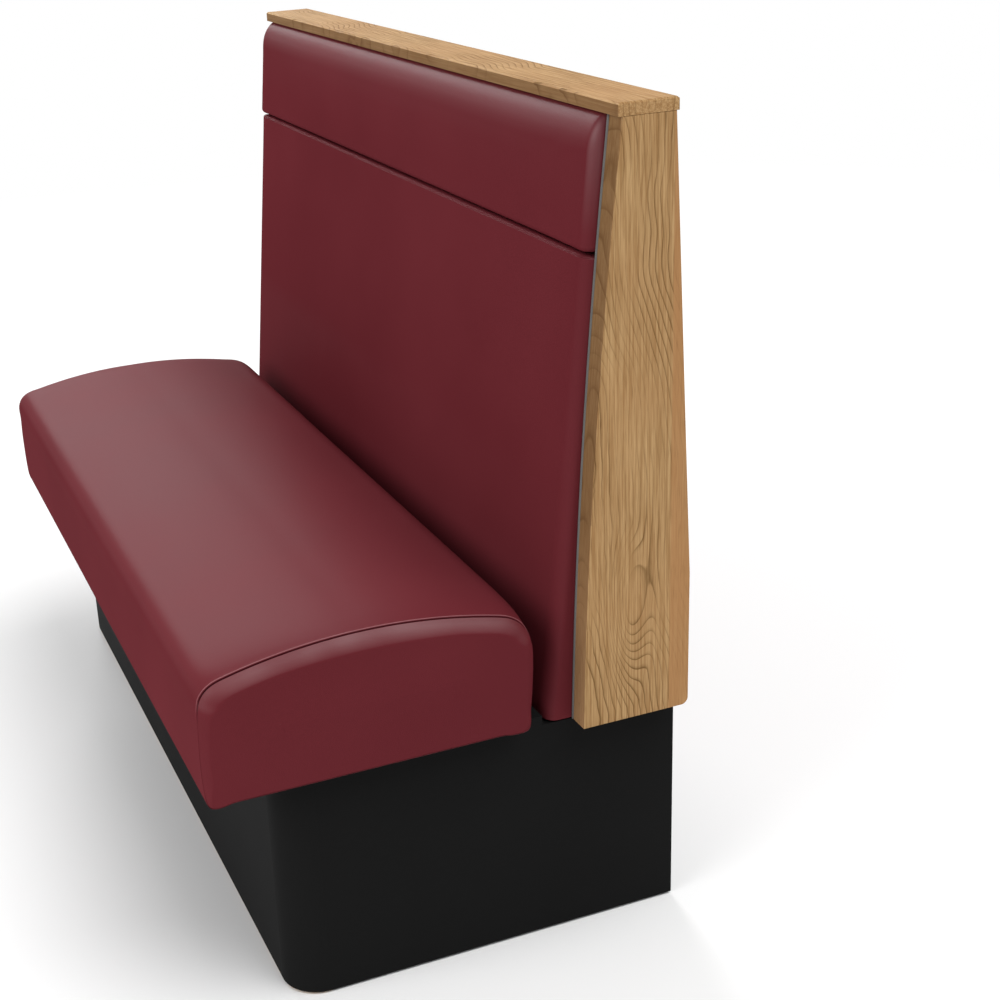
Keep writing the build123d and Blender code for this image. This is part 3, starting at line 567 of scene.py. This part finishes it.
def arc_through(start, middle, end, count):
    """Points on the circle through three points: its centre is as far from all three."""
    a, b, c = (np.array(p, float) for p in (start, middle, end))
    centre = np.linalg.solve(2 * np.array([b - a, c - a]),
                             np.array([b @ b - a @ a, c @ c - a @ a]))
    first, last = (atan2(*(p - centre)[::-1]) for p in (a, c))
    left_turn = np.cross(b - a, c - b) > 0
    sweep = (last - first) % tau if left_turn else -((first - last) % tau)
    angle = first + np.linspace(0, sweep, count)
    return centre + np.linalg.norm(a - centre) * np.stack([np.cos(angle), np.sin(angle)], -1)


def even_loop(points, count):
    """A closed outline with its points spaced evenly, and its corners eased by averaging."""
    closed = np.vstack([points, points[:1]])
    along = length_of(closed)
    at = np.linspace(0, along[-1], count, endpoint=False)
    loop = np.stack([np.interp(at, along, closed[:, k]) for k in (0, 1)], -1)
    return (np.roll(loop, 1, 0) + 2 * loop + np.roll(loop, -1, 0)) / 4


def smooth_between(rows, at, around=False):
    """Rows at fractional places, on a curve through the given rows with their mean slopes."""
    count = len(rows)
    low = np.floor(at).astype(int)
    t = (at - low).reshape(-1, *[1] * (rows.ndim - 1))
    fetch = (lambda k: rows[k % count]) if around else (
        lambda k: rows[np.clip(k, 0, count - 1)])
    p0, p1, p2, p3 = (fetch(low + k) for k in (-1, 0, 1, 2))
    return 0.5 * (2 * p1 + (p2 - p0) * t + (2 * p0 - 5 * p1 + 4 * p2 - p3) * t ** 2
                  + (3 * p1 - p0 - 3 * p2 + p3) * t ** 3)


# %% From a grid to faces
def refined(grid, row_places, column_places, around=False):
    """A grid read at fractional rows and columns."""
    grid = smooth_between(grid, row_places).transpose(1, 0, 2)
    return smooth_between(grid, column_places, around).transpose(1, 0, 2)


def numbered(grid):
    """The point numbers of a grid, row by row, in its own shape."""
    return np.arange(grid.shape[0] * grid.shape[1]).reshape(grid.shape[:2])


def grid_quads(numbers, around=False):
    """Quads between neighbours in a grid of point numbers; around joins last column to first."""
    if around:
        numbers = np.hstack([numbers, numbers[:, :1]])
    return np.stack([numbers[:-1, :-1], numbers[:-1, 1:], numbers[1:, 1:], numbers[1:, :-1]],
                    -1).reshape(-1, 4)


def ring_quads(first, second):
    """Quads between two rings of point numbers."""
    return np.stack([first, np.roll(first, -1), np.roll(second, -1), second], -1)


def grid_normals(grid):
    """Unit normals of a grid that goes around: the cross product of its two slopes."""
    wide = np.concatenate([grid[:, -2:], grid, grid[:, :2]], 1)
    normal = np.cross(np.gradient(wide, axis=1), np.gradient(wide, axis=0))
    normal /= np.linalg.norm(normal, axis=2, keepdims=True) + 1e-12
    return normal[:, 2:-2]


# %% Adding a piece
def add_piece(name, points, faces, material, body, seam_marks=None):
    """A mesh object from arrays, faces turned outwards, with a finish, a body and a slot.

    seam_marks is a number for each point, kept as the mesh's seam attribute for its material."""
    mesh = bpy.data.meshes.new(name)
    mesh.from_pydata(points.reshape(-1, 3).tolist(), [], faces.tolist())
    mesh.validate()
    if seam_marks is not None:
        marks = mesh.attributes.new("seam", "FLOAT", "POINT")
        marks.data.foreach_set("value", seam_marks.astype(np.float32).ravel())
    piece = add_object(name, mesh)
    bm = bmesh.new()
    bm.from_mesh(mesh)
    bmesh.ops.remove_doubles(bm, verts=bm.verts, dist=0.00001)
    bmesh.ops.recalc_face_normals(bm, faces=bm.faces)
    bm.to_mesh(mesh)
    bm.free()
    mesh.shade_smooth()
    mesh.materials.append(material)
    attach(piece, body)
    print(name, len(mesh.polygons), "faces")
    return piece


# %% [markdown]
# Blowing up a cover.
# Foam presses its cover outwards, and the cover gives where nothing holds it. A cloth with air
# pressure inside does the same: seams and stapled edges are pinned, gravity is off, and after a
# few frames the panels have swelled between them. The whole movement is then scaled to a cap.

# %% Inflate
air_pressure = 4.0
frames = 20


def inflate(points, faces, held, cap):
    """The points after a short cloth simulation. held is from 0, free, to 1, pinned.

    The whole movement is scaled so that its largest is the cap: a dome, not a plateau."""
    mesh = bpy.data.meshes.new("inflating")
    mesh.from_pydata(points.tolist(), [], faces.tolist())
    puff = add_object("inflating", mesh)
    pins = puff.vertex_groups.new(name="pins")
    for weight in np.unique(held[held > 0]):
        pins.add(np.flatnonzero(held == weight).tolist(), float(weight), "REPLACE")
    cloth = puff.modifiers.new("cloth", "CLOTH")
    for key, value in dict(quality=6, mass=0.3, tension_stiffness=15.0,
                           compression_stiffness=15.0, shear_stiffness=8.0,
                           bending_stiffness=1.5, vertex_group_mass="pins", use_pressure=True,
                           uniform_pressure_force=air_pressure).items():
        setattr(cloth.settings, key, value)
    cloth.settings.effector_weights.gravity = 0.0
    cloth.collision_settings.use_collision = False
    cloth.point_cache.frame_end = frames
    for frame_number in range(1, frames + 1):
        scene.frame_set(frame_number)
    swelled = puff.evaluated_get(bpy.context.evaluated_depsgraph_get())
    shift = points_of(swelled) - points
    size = np.linalg.norm(shift, axis=1, keepdims=True)
    print("swelled by up to", round(float(size.max()) / mm, 1), "mm, mean",
          round(float(size.mean()) / mm, 1))
    scene.frame_set(1)
    bpy.data.objects.remove(puff)
    return points + shift * cap / (size.max() + 1e-9)

# %% [markdown]
# The seat cushion's end profile.
# Seen from the end the cushion is flat below, upright in front and behind, and arched above,
# higher towards the front, with two soft shoulders; its rear face leans back a little. Lines and
# arcs give that outline at the seam, measured from the photograph.

# %% Seat profile
seat_low, seat_high = (np.array(c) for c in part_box("seat_cover"))
seat_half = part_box("seat_right_side_panel")[1][0]
seam_inset = 15 * mm
seam_x = seat_half - seam_inset
seat_floor = seat_low[2] - 3.2 * mm
corner_below = 3 * mm
seat_front = seat_low[1] + 2.5 * mm
seat_rear = seat_high[1] - 2 * mm
rear_lean = 7 * mm
seam_front_top = seat_floor + 114.2 * mm
seam_rear_top = seat_floor + 107.2 * mm
seam_arch_top = seat_floor + 166.7 * mm


def seat_profile(count):
    """The closed outline at the seam, from the front edge's foot up, over the arch and round."""
    y0, y1, low, foot = seat_front, seat_rear, seat_floor, seat_rear - rear_lean
    r = corner_below
    bend = r * (1 - 1 / np.sqrt(2))
    front_top = (y0 + 26 * mm, seam_front_top + 30.5 * mm)
    rear_top = (y1 - 35 * mm, seam_rear_top + 39 * mm)
    arcs = [((y0 + bend, low + bend), (y0, low + r), 8),
            ((y0 - 2 * mm, (low + seam_front_top) / 2), (y0 + 1 * mm, seam_front_top), 20),
            ((y0 + 7 * mm, seam_front_top + 17 * mm), front_top, 10),
            ((y0 + 184 * mm, seam_arch_top), rear_top, 40),
            ((y1 - 10.5 * mm, seam_rear_top + 25 * mm), (y1, seam_rear_top), 12),
            ((y1 - 1.5 * mm, (low + seam_rear_top) / 2), (foot, low + r), 20),
            ((foot - bend, low + bend), (foot - r, low), 8)]
    outline, start = [], (y0 + r, low)
    # Each arc has a point on its way, its end and its number of points.
    for middle, end, steps in arcs:
        outline.append(arc_through(start, middle, end, steps)[:-1])
        start = end
    return even_loop(np.vstack([*outline, [start]]), count)


profile = seat_profile(128)
print("profile", profile.shape, "top", round(profile[:, 1].max() * 1000, 1))

# %% [markdown]
# The seat cushion as one grid.
# Each row is the profile at one place along the bench. Away from the seam the foam swells the
# cover, most at the two shoulders. At the right the rows go past a seam and become the end panel:
# they shrink towards a line inside the panel while it rolls outwards, widely along the arch and
# tightly at the foot. The left end is softer: its top and its upright corners round off in
# quarter ellipses before the end closes. Below, the cover turns under as a narrow lip.

# %% Seat measures
seat_crown = 1.5 * mm
shoulder_swell = 6.5 * mm
top_swell = 2.5 * mm
left_roll_length, left_roll_drop = 110 * mm, 60 * mm
left_corner = 85 * mm
roll_share = 0.21
swell_reach, spread_reach, foot_fade = 22 * mm, 15 * mm, 60 * mm
spine_inset, spine_height = 92 * mm, 84 * mm
foot_reach, half_up = 25 * mm, 0.5
foot_roll, wall_roll, arch_roll = 0.14, 0.41, 0.45
end_shares = np.array([0.012, 0.03, 0.05, 0.075, 0.1, 0.13, 0.16, 0.185, 0.21, 0.25, 0.32, 0.42,
                       0.54, 0.66, 0.78, 0.88, 0.96])
left_shares = np.array([0.03, 0.08, 0.15, 0.25, 0.36, 0.48, 0.6, 0.72, 0.84, 0.95])
spine_y = np.clip(profile[:, 0], seat_front + spine_inset, seat_rear - spine_inset)
spine = np.stack([spine_y, np.full(len(profile), seat_floor + spine_height)], -1)
seat_middle = (seat_front + seat_rear) / 2

slope = np.roll(profile, -1, 0) - np.roll(profile, 1, 0)
slope /= np.linalg.norm(slope, axis=1, keepdims=True)
outward = np.stack([-slope[:, 1], slope[:, 0]], -1)
upness = np.clip(outward[:, 1], 0, 1)
shoulder = 2 * np.abs(outward[:, 0]) * upness
above_foot = np.clip((profile[:, 1] - seat_floor) / foot_reach, 0, 1)
rolled = foot_roll + wall_roll * above_foot + arch_roll * np.clip(upness / half_up, 0, 1)
lip_width = 12 * mm
lip_height = 3.4 * mm
print("seat half length", round(seat_half / mm, 1), "mm, seam at", round(seam_x / mm, 1))


# %% Seat sections
bevel_power, right_bulge = 1.4, 2 * mm
left_bulge, left_middle_height, left_middle_width = 3 * mm, 55 * mm, 0.35


def quarter_fall(depth, share):
    """depth (1 - sqrt(1 - (1 - share)^2)): how far a quarter ellipse falls short at a share."""
    return depth * (1 - np.sqrt(1 - (1 - np.clip(share, 0, 1)) ** 2))


def body_section(x):
    """The profile at x, swelled by foam away from the right seam and rounded at the left end."""
    swell = 1 - np.exp(-max(seam_x - x, 0) / swell_reach)
    crown = seat_crown * (1 - min((x / seam_x) ** 2, 1)) ** 0.8
    above = np.clip((profile[:, 1] - seat_floor) / foot_fade, 0, 1)
    out = swell * (shoulder_swell * shoulder + top_swell * upness) + crown * upness
    section = profile + outward * (out * above)[:, None]
    along = x + seat_half
    drop = quarter_fall(left_roll_drop, along / left_roll_length)
    corner = quarter_fall(left_corner, along / left_corner)
    section[:, 1] -= drop * (section[:, 1] - seat_floor) / (seam_arch_top - seat_floor)
    section[:, 0] -= (section[:, 0] - seat_middle) * corner / (seat_rear - seat_middle)
    under = section[:, 1] < seat_floor + 0.1 * mm
    inwards = np.minimum(section[:, 0] - section[under, 0].min(),
                         section[under, 0].max() - section[:, 0])
    lip = np.clip(inwards / lip_width - 0.5, 0, 1) * np.clip(
        (seat_half - abs(x)) / lip_width - 0.5, 0, 1)
    section[under, 1] += (lip_height * lip)[under]
    spread = seam_inset * (1 - rolled) * np.exp(-max(seam_x - x, 0) / spread_reach)
    return np.column_stack([x + spread, section])


def right_section(share):
    """A row of the right end panel: out by inset (1 - (1 - t)^n)^(1/n), nearly a bevel."""
    edge = body_section(seam_x)
    past = max(share - roll_share, 0) / (1 - roll_share)
    inwards = rolled * min(share, roll_share) + past * (1 - rolled * roll_share)
    inside = edge[:, 1:] + (spine - edge[:, 1:]) * inwards[:, None]
    t = min(share / roll_share, 1)
    bevel = (1 - (1 - t) ** bevel_power) ** (1 / bevel_power)
    out = rolled * seam_inset * bevel + right_bulge * past
    return np.column_stack([edge[:, 0] + out, inside])


def left_section(share):
    """A row of the left end: shrunk towards the middle of its outline, bulging by a little."""
    edge = body_section(-seat_half)
    middle = np.stack([seat_middle + (edge[:, 1] - seat_middle) * left_middle_width,
                       np.full(len(edge), seat_floor + left_middle_height)], -1)
    inside = edge[:, 1:] + (middle - edge[:, 1:]) * share
    x = -seat_half - left_bulge * share * (2 - share)
    return np.column_stack([np.full(len(profile), x), inside])


# %% Seat rows
left_rows, body_rows, left_seam_after = 15, 101, 3
turn = np.linspace(0, pi / 2, left_rows)[:-1]
left_x = -seat_half + left_roll_length * (1 - np.cos(turn)) * 0.98 + 0.2 * mm * (turn > 0)
straight_x = np.linspace(-seat_half + left_roll_length, seam_x, body_rows)
body_x = np.concatenate([left_x, straight_x])
rows = [left_section(share) for share in left_shares[::-1]]
rows += [body_section(x) for x in body_x]
rows += [right_section(share) for share in end_shares]
seat_grid = np.array(rows)
left_seam_row = len(left_shares) + left_seam_after
right_seam_row = len(left_shares) + len(body_x) - 1
print("seat grid", seat_grid.shape)


# %% Closing the ends
def zip_faces(ring):
    """Closes a narrow ring: each point is joined to its partner across the gap.

    The zip starts an eighth of the way round the outline, at its front shoulder."""
    count = len(ring)
    start = count // 8
    near = ring[(start + np.arange(count // 2)) % count]
    far = ring[(start - 1 - np.arange(count // 2)) % count]
    return np.stack([near[:-1], near[1:], far[1:], far[:-1]], -1)


def closed_faces(grid):
    """All faces of a grid that goes around, with its first and last rows zipped shut."""
    numbers = numbered(grid)
    return np.vstack([grid_quads(numbers, around=True), zip_faces(numbers[0]),
                      zip_faces(numbers[-1])])


# %% [markdown]
# The foam pushes the cover out between the seams. The seams along the arch and the stapled
# bottom edge are pinned, so the top panel and the two end panels belly out on their own. The
# foam under a real cover evens out small ripples, so the movement is averaged along each row.

# %% Seat simulation
smoothing_passes = 24
stapled_below, sewn_above = 12 * mm, 110 * mm
held = np.zeros(seat_grid.shape[:2])
held[:, profile[:, 1] < seat_floor + stapled_below] = 1.0
for row in (left_seam_row, right_seam_row):
    held[row, profile[:, 1] > seat_floor + sewn_above] = 1.0
swelled = inflate(seat_grid.reshape(-1, 3), closed_faces(seat_grid), held.ravel(), 2.5 * mm)
shift = swelled.reshape(seat_grid.shape) - seat_grid
for _ in range(smoothing_passes):
    shift = (np.roll(shift, 1, 1) + 2 * shift + np.roll(shift, -1, 1)) / 4
seat_grid = seat_grid + shift
print("seat", np.round(np.ptp(seat_grid, axis=(0, 1)) / mm, 1), "mm")

# %% [markdown]
# The finished seat: twice as many points, and the seams.
# A plain sewn seam shows as a thin crevice, with the fold of the top panel standing up beside it
# where its allowance is pressed back. Rows close together at each seam carry that profile, which
# fades out down the front and rear corners, where the photograph shows none. Its height is kept
# as an attribute too, for painted shade that darkens the vinyl in the crevice and a painted
# highlight that makes it paler on the fold.

# %% Seat surface
beside_seam = np.array([0.3, 0.7, 1.1, 1.6, 2.3, 3.2, 4.4, 6]) * mm
fine_offsets = np.concatenate([-beside_seam[::-1], [0], beside_seam])
seam_from, seam_full_over = 95 * mm, 35 * mm
plain_until = 7 * mm
seam_mask = np.clip((profile[:, 1] - seat_floor - seam_from) / seam_full_over, 0, 1)
steps = np.linalg.norm(np.diff(seat_grid, axis=0), axis=2) @ seam_mask / seam_mask.sum()
travelled = np.concatenate([[0], np.cumsum(steps)])
row_numbers = np.arange(len(seat_grid))
seams = travelled[[left_seam_row, right_seam_row]]
plain = np.interp(np.arange(0, len(seat_grid) - 0.75, 0.5), row_numbers, travelled)
plain = plain[np.abs(plain[:, None] - seams).min(axis=1) > plain_until]
stops = np.sort(np.concatenate([plain, *(seam + fine_offsets for seam in seams)]))
row_places = np.interp(stops, travelled, row_numbers)
signed = np.where(stops < seams.mean(), stops - seams[0], seams[1] - stops)
column_places = np.arange(0, len(profile), 0.5)

surface = refined(seat_grid, row_places, column_places, around=True)
normals = grid_normals(surface)
if (normals[len(surface) // 2, :, 2] * upness.repeat(2)).sum() < 0:
    normals = -normals
mask = smooth_between(seam_mask[:, None], column_places, around=True)[:, 0]

crevice_depth, fold_height, low_fold_height = 2.0 * mm, 1.1 * mm, 0.3 * mm


def seam_relief(distance):
    """Height beside a seam: a crevice at 0, a folded edge at 2.1 mm, a lower one at -1.8 mm."""
    d = distance / mm
    return (fold_height * np.exp(-((d - 2.1) / 1.0) ** 2) - crevice_depth * np.exp(-(d / 0.8) ** 2)
            + low_fold_height * np.exp(-((d + 1.8) / 1.2) ** 2))


relief = seam_relief(signed)[:, None] * np.clip(mask, 0, 1)[None, :]
surface = surface + normals * relief[..., None]
seat = add_piece("seat_cushion_cover", surface, closed_faces(surface), seat_vinyl, CUSHION,
                 relief / fold_height)
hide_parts("seat_cover", "seat_foam", "seat_left_side_panel", "seat_right_side_panel")

# %% [markdown]
# A pad on a board.
# The head roll, the back pad and the two rear pads are all built alike: a plywood board, foam on
# its face, and vinyl pulled over the edges and stapled behind. The helper reads the leaning plane
# from the board itself. In that plane a pad is a face with a crown, rounded into walls, and the
# walls turn under into a recess where the board sits.

# %% Reading a board
def board_plane(node, facing):
    """Corner, rise and outward directions of a board leaning in YZ, found by its extremes."""
    yz = points_of(nodes[node])[:, 1:]
    corner, outer, top = (yz[np.argmax(yz @ np.array(way))] for way in (
        (-facing, -1), (facing, -1), (-facing, 1)))
    return corner, (top - corner) / np.linalg.norm(top - corner), (
        (outer - corner) / np.linalg.norm(outer - corner)), np.linalg.norm(outer - corner)


# %% Pad front
edge_steps = 7


def wrapped_line(low, high, low_radius, high_radius, cell):
    """Along one side: how far round an edge each point is, -1 to 1, and its arc's centre."""
    turn = np.sin(np.linspace(pi / 2, 0, edge_steps))
    count = max(3, int(round((high - low) / cell)))
    face = np.linspace(low + low_radius, high - high_radius, count)
    wrap = np.concatenate([-turn, np.zeros(count - 2), turn[::-1]])
    centre = np.concatenate([np.full(edge_steps, face[0]), face[1:-1],
                             np.full(edge_steps, face[-1])])
    return wrap, centre, np.where(wrap < 0, low_radius, high_radius)


def pad_surface(width, height, depth, crown, ends, top, foot, cell):
    """A pad's front in its own plane, as x, rise and out, and the same with square corners.

    Each edge is a quarter ellipse. Where two meet, the pair of turns is carried from a square
    onto a quarter disc, so the corner is rounded too. The crown is (1 - h^2)(1 - w^6)."""
    wx, cx, rx = wrapped_line(*width, ends[0], ends[0], cell)
    wh, ch, rh = wrapped_line(*height, foot[0], top[0], cell)
    p, q = np.meshgrid(wx, wh, indexing="ij")
    round_p, round_q = p * np.sqrt(1 - q ** 2 / 2), q * np.sqrt(1 - p ** 2 / 2)
    x = cx[:, None] + rx[:, None] * round_p
    rise = ch[None, :] + rh[None, :] * round_q
    square = np.stack([cx[:, None] + rx[:, None] * p, ch[None, :] + rh[None, :] * q], -1)
    fall = 1 - np.sqrt(np.clip(1 - round_p ** 2 - round_q ** 2, 0, 1))
    deep = np.where(wh < 0, foot[1], top[1])[None, :]
    blend = (ends[1] * round_p ** 2 + deep * round_q ** 2) / (round_p ** 2 + round_q ** 2 + 1e-9)
    w = 2 * (x - width[0]) / (width[1] - width[0]) - 1
    h = 2 * (rise - height[0]) / (height[1] - height[0]) - 1
    out = depth - crown - blend * fall + crown * (1 - h ** 2) * (1 - w ** 6)
    return np.stack([x, rise, out], -1), square


# %% Swelling and closing a pad
board_lip = 0.8 * mm
board_gap = 0.4 * mm
board_clearance = 0.6 * mm
wall_end = board_lip + 0.6 * mm
level_reach = 70 * mm


def border(numbers):
    """The outer ring of a grid of numbers, in order."""
    return np.concatenate([numbers[:-1, 0], numbers[-1, :-1], numbers[:0:-1, -1],
                           numbers[0, :0:-1]])


def swell_pad(front, cap):
    """A pad's front after the simulation, with the foot of its walls pinned at the board."""
    numbers, flat = numbered(front), front.reshape(-1, 3)
    ring = border(numbers)
    low = flat[ring].copy()
    low[:, 2] = board_lip
    faces = np.vstack([grid_quads(numbers), ring_quads(ring, len(flat) + np.arange(len(ring)))])
    held = np.repeat([0.0, 1.0], [len(flat), len(ring)])
    return inflate(np.vstack([flat, low]), faces, held, cap)[:len(flat)].reshape(front.shape)


def make_pad(name, board, cover, facing, ends, top, foot, crown, cell, cap, grow=(0, 0),
             flatten=(0, 0)):
    """A padded cover for a board: front grid, walls, a lip under the edge and the recess.

    grow lengthens the pad at its foot and top. flatten, from 0 to 1, turns the foot and the
    top from square to the board towards level with the floor."""
    corner, rise_way, out_way, thickness = board_plane(board, facing)
    cover_points = points_of(nodes[cover])
    along = (cover_points[:, 1:] - corner) @ rise_way
    out = (cover_points[:, 1:] - corner) @ out_way
    width = (cover_points[:, 0].min(), cover_points[:, 0].max())
    height = (along.min() - grow[0], along.max() + grow[1])
    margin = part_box(board)[0][0] - width[0] - board_clearance
    front, square = pad_surface(width, height, out.max(), crown, ends, top, foot, cell)
    front = swell_pad(front, cap)
    fine = [np.arange(0, n - 0.75, 0.5) for n in front.shape[:2]]
    front, square = refined(front, *fine), refined(square, *fine)
    middle = np.array([sum(width) / 2, sum(height) / 2])
    half = np.array([width[1] - width[0], height[1] - height[0]]) / 2
    recess = (middle + (square - middle) * (1 - margin / half)).reshape(-1, 2)
    numbers, flat = numbered(front), front.reshape(-1, 3)
    ring = border(numbers)
    count = len(ring)
    edge, inner = flat[ring], recess[ring]
    wall = [np.column_stack([edge[:, :2], edge[:, 2] + (wall_end - edge[:, 2]) * share])
            for share in (0.4, 0.8, 1.0)]
    lip = [np.column_stack([edge[:, :2] + (inner - edge[:, :2]) * share,
                            np.full(count, board_lip)]) for share in (0.15, 1.0)]
    back = np.column_stack([recess, np.full(len(flat), thickness + board_gap)])
    starts = len(flat) + count * np.arange(len(wall + lip) + 1)
    back_numbers = starts[-1] + numbers
    rings = [ring, *(start + np.arange(count) for start in starts[:-1]), border(back_numbers)]
    faces = [grid_quads(numbers), *map(ring_quads, rings[:-1], rings[1:]),
             grid_quads(back_numbers)[:, ::-1]]
    local = np.vstack([flat, *wall, *lip, back])
    for end, share, way in ((height[0], flatten[0], 1), (height[1], flatten[1], -1)):
        near = np.clip(1 - way * (local[:, 1] - end) / level_reach, 0, 1) ** 1.5
        local[:, 1] += share * near * local[:, 2] * rise_way[0] / rise_way[1] * facing
    yz = corner + local[:, 1:2] * rise_way + local[:, 2:3] * out_way
    return add_piece(name, np.column_stack([local[:, 0], yz]), np.vstack(faces), back_vinyl,
                     BENCH)


# %% [markdown]
# The head roll and the back pad.
# The roll has a fuller, rounder top edge, which comes up under the cap, and both are soft at
# their ends. Between them lies a narrow crease. The foot of the back pad is cut level with the
# plinth that it stands on.

# %% Front pads
head_roll = make_pad("head_roll", "head_roll_board", "head_roll_cover", -1,
                     ends=(16 * mm, 16 * mm), top=(40 * mm, 27 * mm), foot=(7 * mm, 8 * mm),
                     crown=6 * mm, cell=11 * mm, cap=2.5 * mm, grow=(5 * mm, 7 * mm),
                     flatten=(0, 0.6))
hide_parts("head_roll_cover", "head_roll_foam")

back_pad = make_pad("back_pad", "back_pad_board", "back_pad_cover", -1,
                    ends=(22 * mm, 16 * mm), top=(5 * mm, 6 * mm), foot=(3 * mm, 4 * mm),
                    crown=2 * mm, cell=12 * mm, cap=2.5 * mm, grow=(0, -4.6 * mm), flatten=(1, 0))
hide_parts("back_pad_cover", "back_pad_foam")

# %% [markdown]
# The strip beside the oak.
# A thin grey line runs down between the vinyl and the oak's front edge: the edge of a plastic
# strip that closes the joint. It is a flat bar carried up along the board's front edge, which
# is a shallow curve: three crossings measured on the board's mesh give it as a parabola.

# %% Reveal strip
oak_mesh = nodes["oak_end_panel"].data
oak_points = points_of(nodes["oak_end_panel"])
oak_edges = np.empty(2 * len(oak_mesh.edges), int)
oak_mesh.edges.foreach_get("vertices", oak_edges)
first, second = oak_points[oak_edges.reshape(-1, 2).T]


def front_of_oak(height):
    """The least y where the board's mesh edges cross a height."""
    with np.errstate(divide="ignore", invalid="ignore"):
        share = (height - first[:, 2]) / (second[:, 2] - first[:, 2])
        crossing = (share >= 0) & (share <= 1)
        return (first[:, 1] + (second - first)[:, 1] * share)[crossing].min()


strip_low, strip_high = oak_points[:, 2].min() + 1 * mm, oak_points[:, 2].max() - 0.5 * mm
known = np.array([strip_low, (strip_low + strip_high) / 2, strip_high])
curve = np.polyfit(known, [front_of_oak(height) for height in known], 2)
strip_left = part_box("back_pad_cover")[1][0] + 0.15 * mm
strip_right = oak_points[:, 0].min() - 0.05 * mm
strip_proud, strip_depth = 1.8 * mm, 8 * mm
heights = np.linspace(strip_low, strip_high, 41)
strip = np.empty((len(heights), 4, 3))
strip[..., 0] = strip_left, strip_right, strip_right, strip_left
strip[..., 1] = np.polyval(curve, heights)[:, None] + np.array(
    [-strip_proud, -strip_proud, strip_depth, strip_depth])
strip[..., 2] = heights[:, None]
numbers = numbered(strip)
strip_faces = np.vstack([numbers[:1, ::-1], grid_quads(numbers, around=True), numbers[-1:]])
add_piece("reveal_strip", strip, strip_faces, grey_strip, BENCH)
print("strip front", np.round(np.polyval(curve, known) / mm, 1))

# %% [markdown]
# The rear pads.
# The rear is upholstered in the same vinyl over thin foam, in two panels that meet at the height
# where the frame's rear face bends. They are flatter and tighter than the front.

# %% Rear pads
rear_edge = (6 * mm, 7 * mm)
rear_shape = dict(ends=rear_edge, top=rear_edge, foot=rear_edge, cell=14 * mm, cap=1 * mm)
rear_upper = make_pad("rear_upper_pad", "rear_upper_board", "rear_upper_cover", 1,
                      crown=3.5 * mm, **rear_shape)
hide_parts("rear_upper_cover", "rear_upper_foam")

rear_lower = make_pad("rear_lower_pad", "rear_lower_board", "rear_lower_cover", 1,
                      crown=1.5 * mm, **rear_shape)
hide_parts("rear_lower_cover", "rear_lower_foam")

# %% [markdown]
# The floor.
# A wide pale sheet, far larger than the view. Near the bench it is an ordinary matt surface, so
# that it holds the shadow. Further off it turns to plain white where it is seen, which hides its
# edge against the white world.

# %% Floor
half_floor = 20.0
near_radius = 1.4
far_radius = 4.5
floor_colour = 0.86
floor_mesh = bpy.data.meshes.new("floor")
corners = half_floor * np.array([(-1, -1, 0), (1, -1, 0), (1, 1, 0), (-1, 1, 0)])
floor_mesh.from_pydata(corners.tolist(), [], [(0, 1, 2, 3)])
floor = add_object("floor", floor_mesh)
floor_paper, tree, shader, place = new_material("floor_paper", roughness=0.9,
                                                Specular_IOR_Level=0.1)
shader.inputs["Base Color"].default_value = (floor_colour, floor_colour, floor_colour, 1)
distance = vector_math(tree, "LENGTH", place)["Value"]
far_off = ranged(tree, distance, near_radius, far_radius)
glow = put(tree, "ShaderNodeEmission", {"Color": plain_white, "Strength": 1.0})
whole = put(tree, "ShaderNodeMixShader", {0: times(tree, is_seen(tree), far_off),
                                          1: shader.outputs[0], 2: glow.outputs[0]})
tree.links.new(whole.outputs[0], tree.nodes["Material Output"].inputs["Surface"])
floor_mesh.materials.append(floor_paper)
print("floor", floor.name)
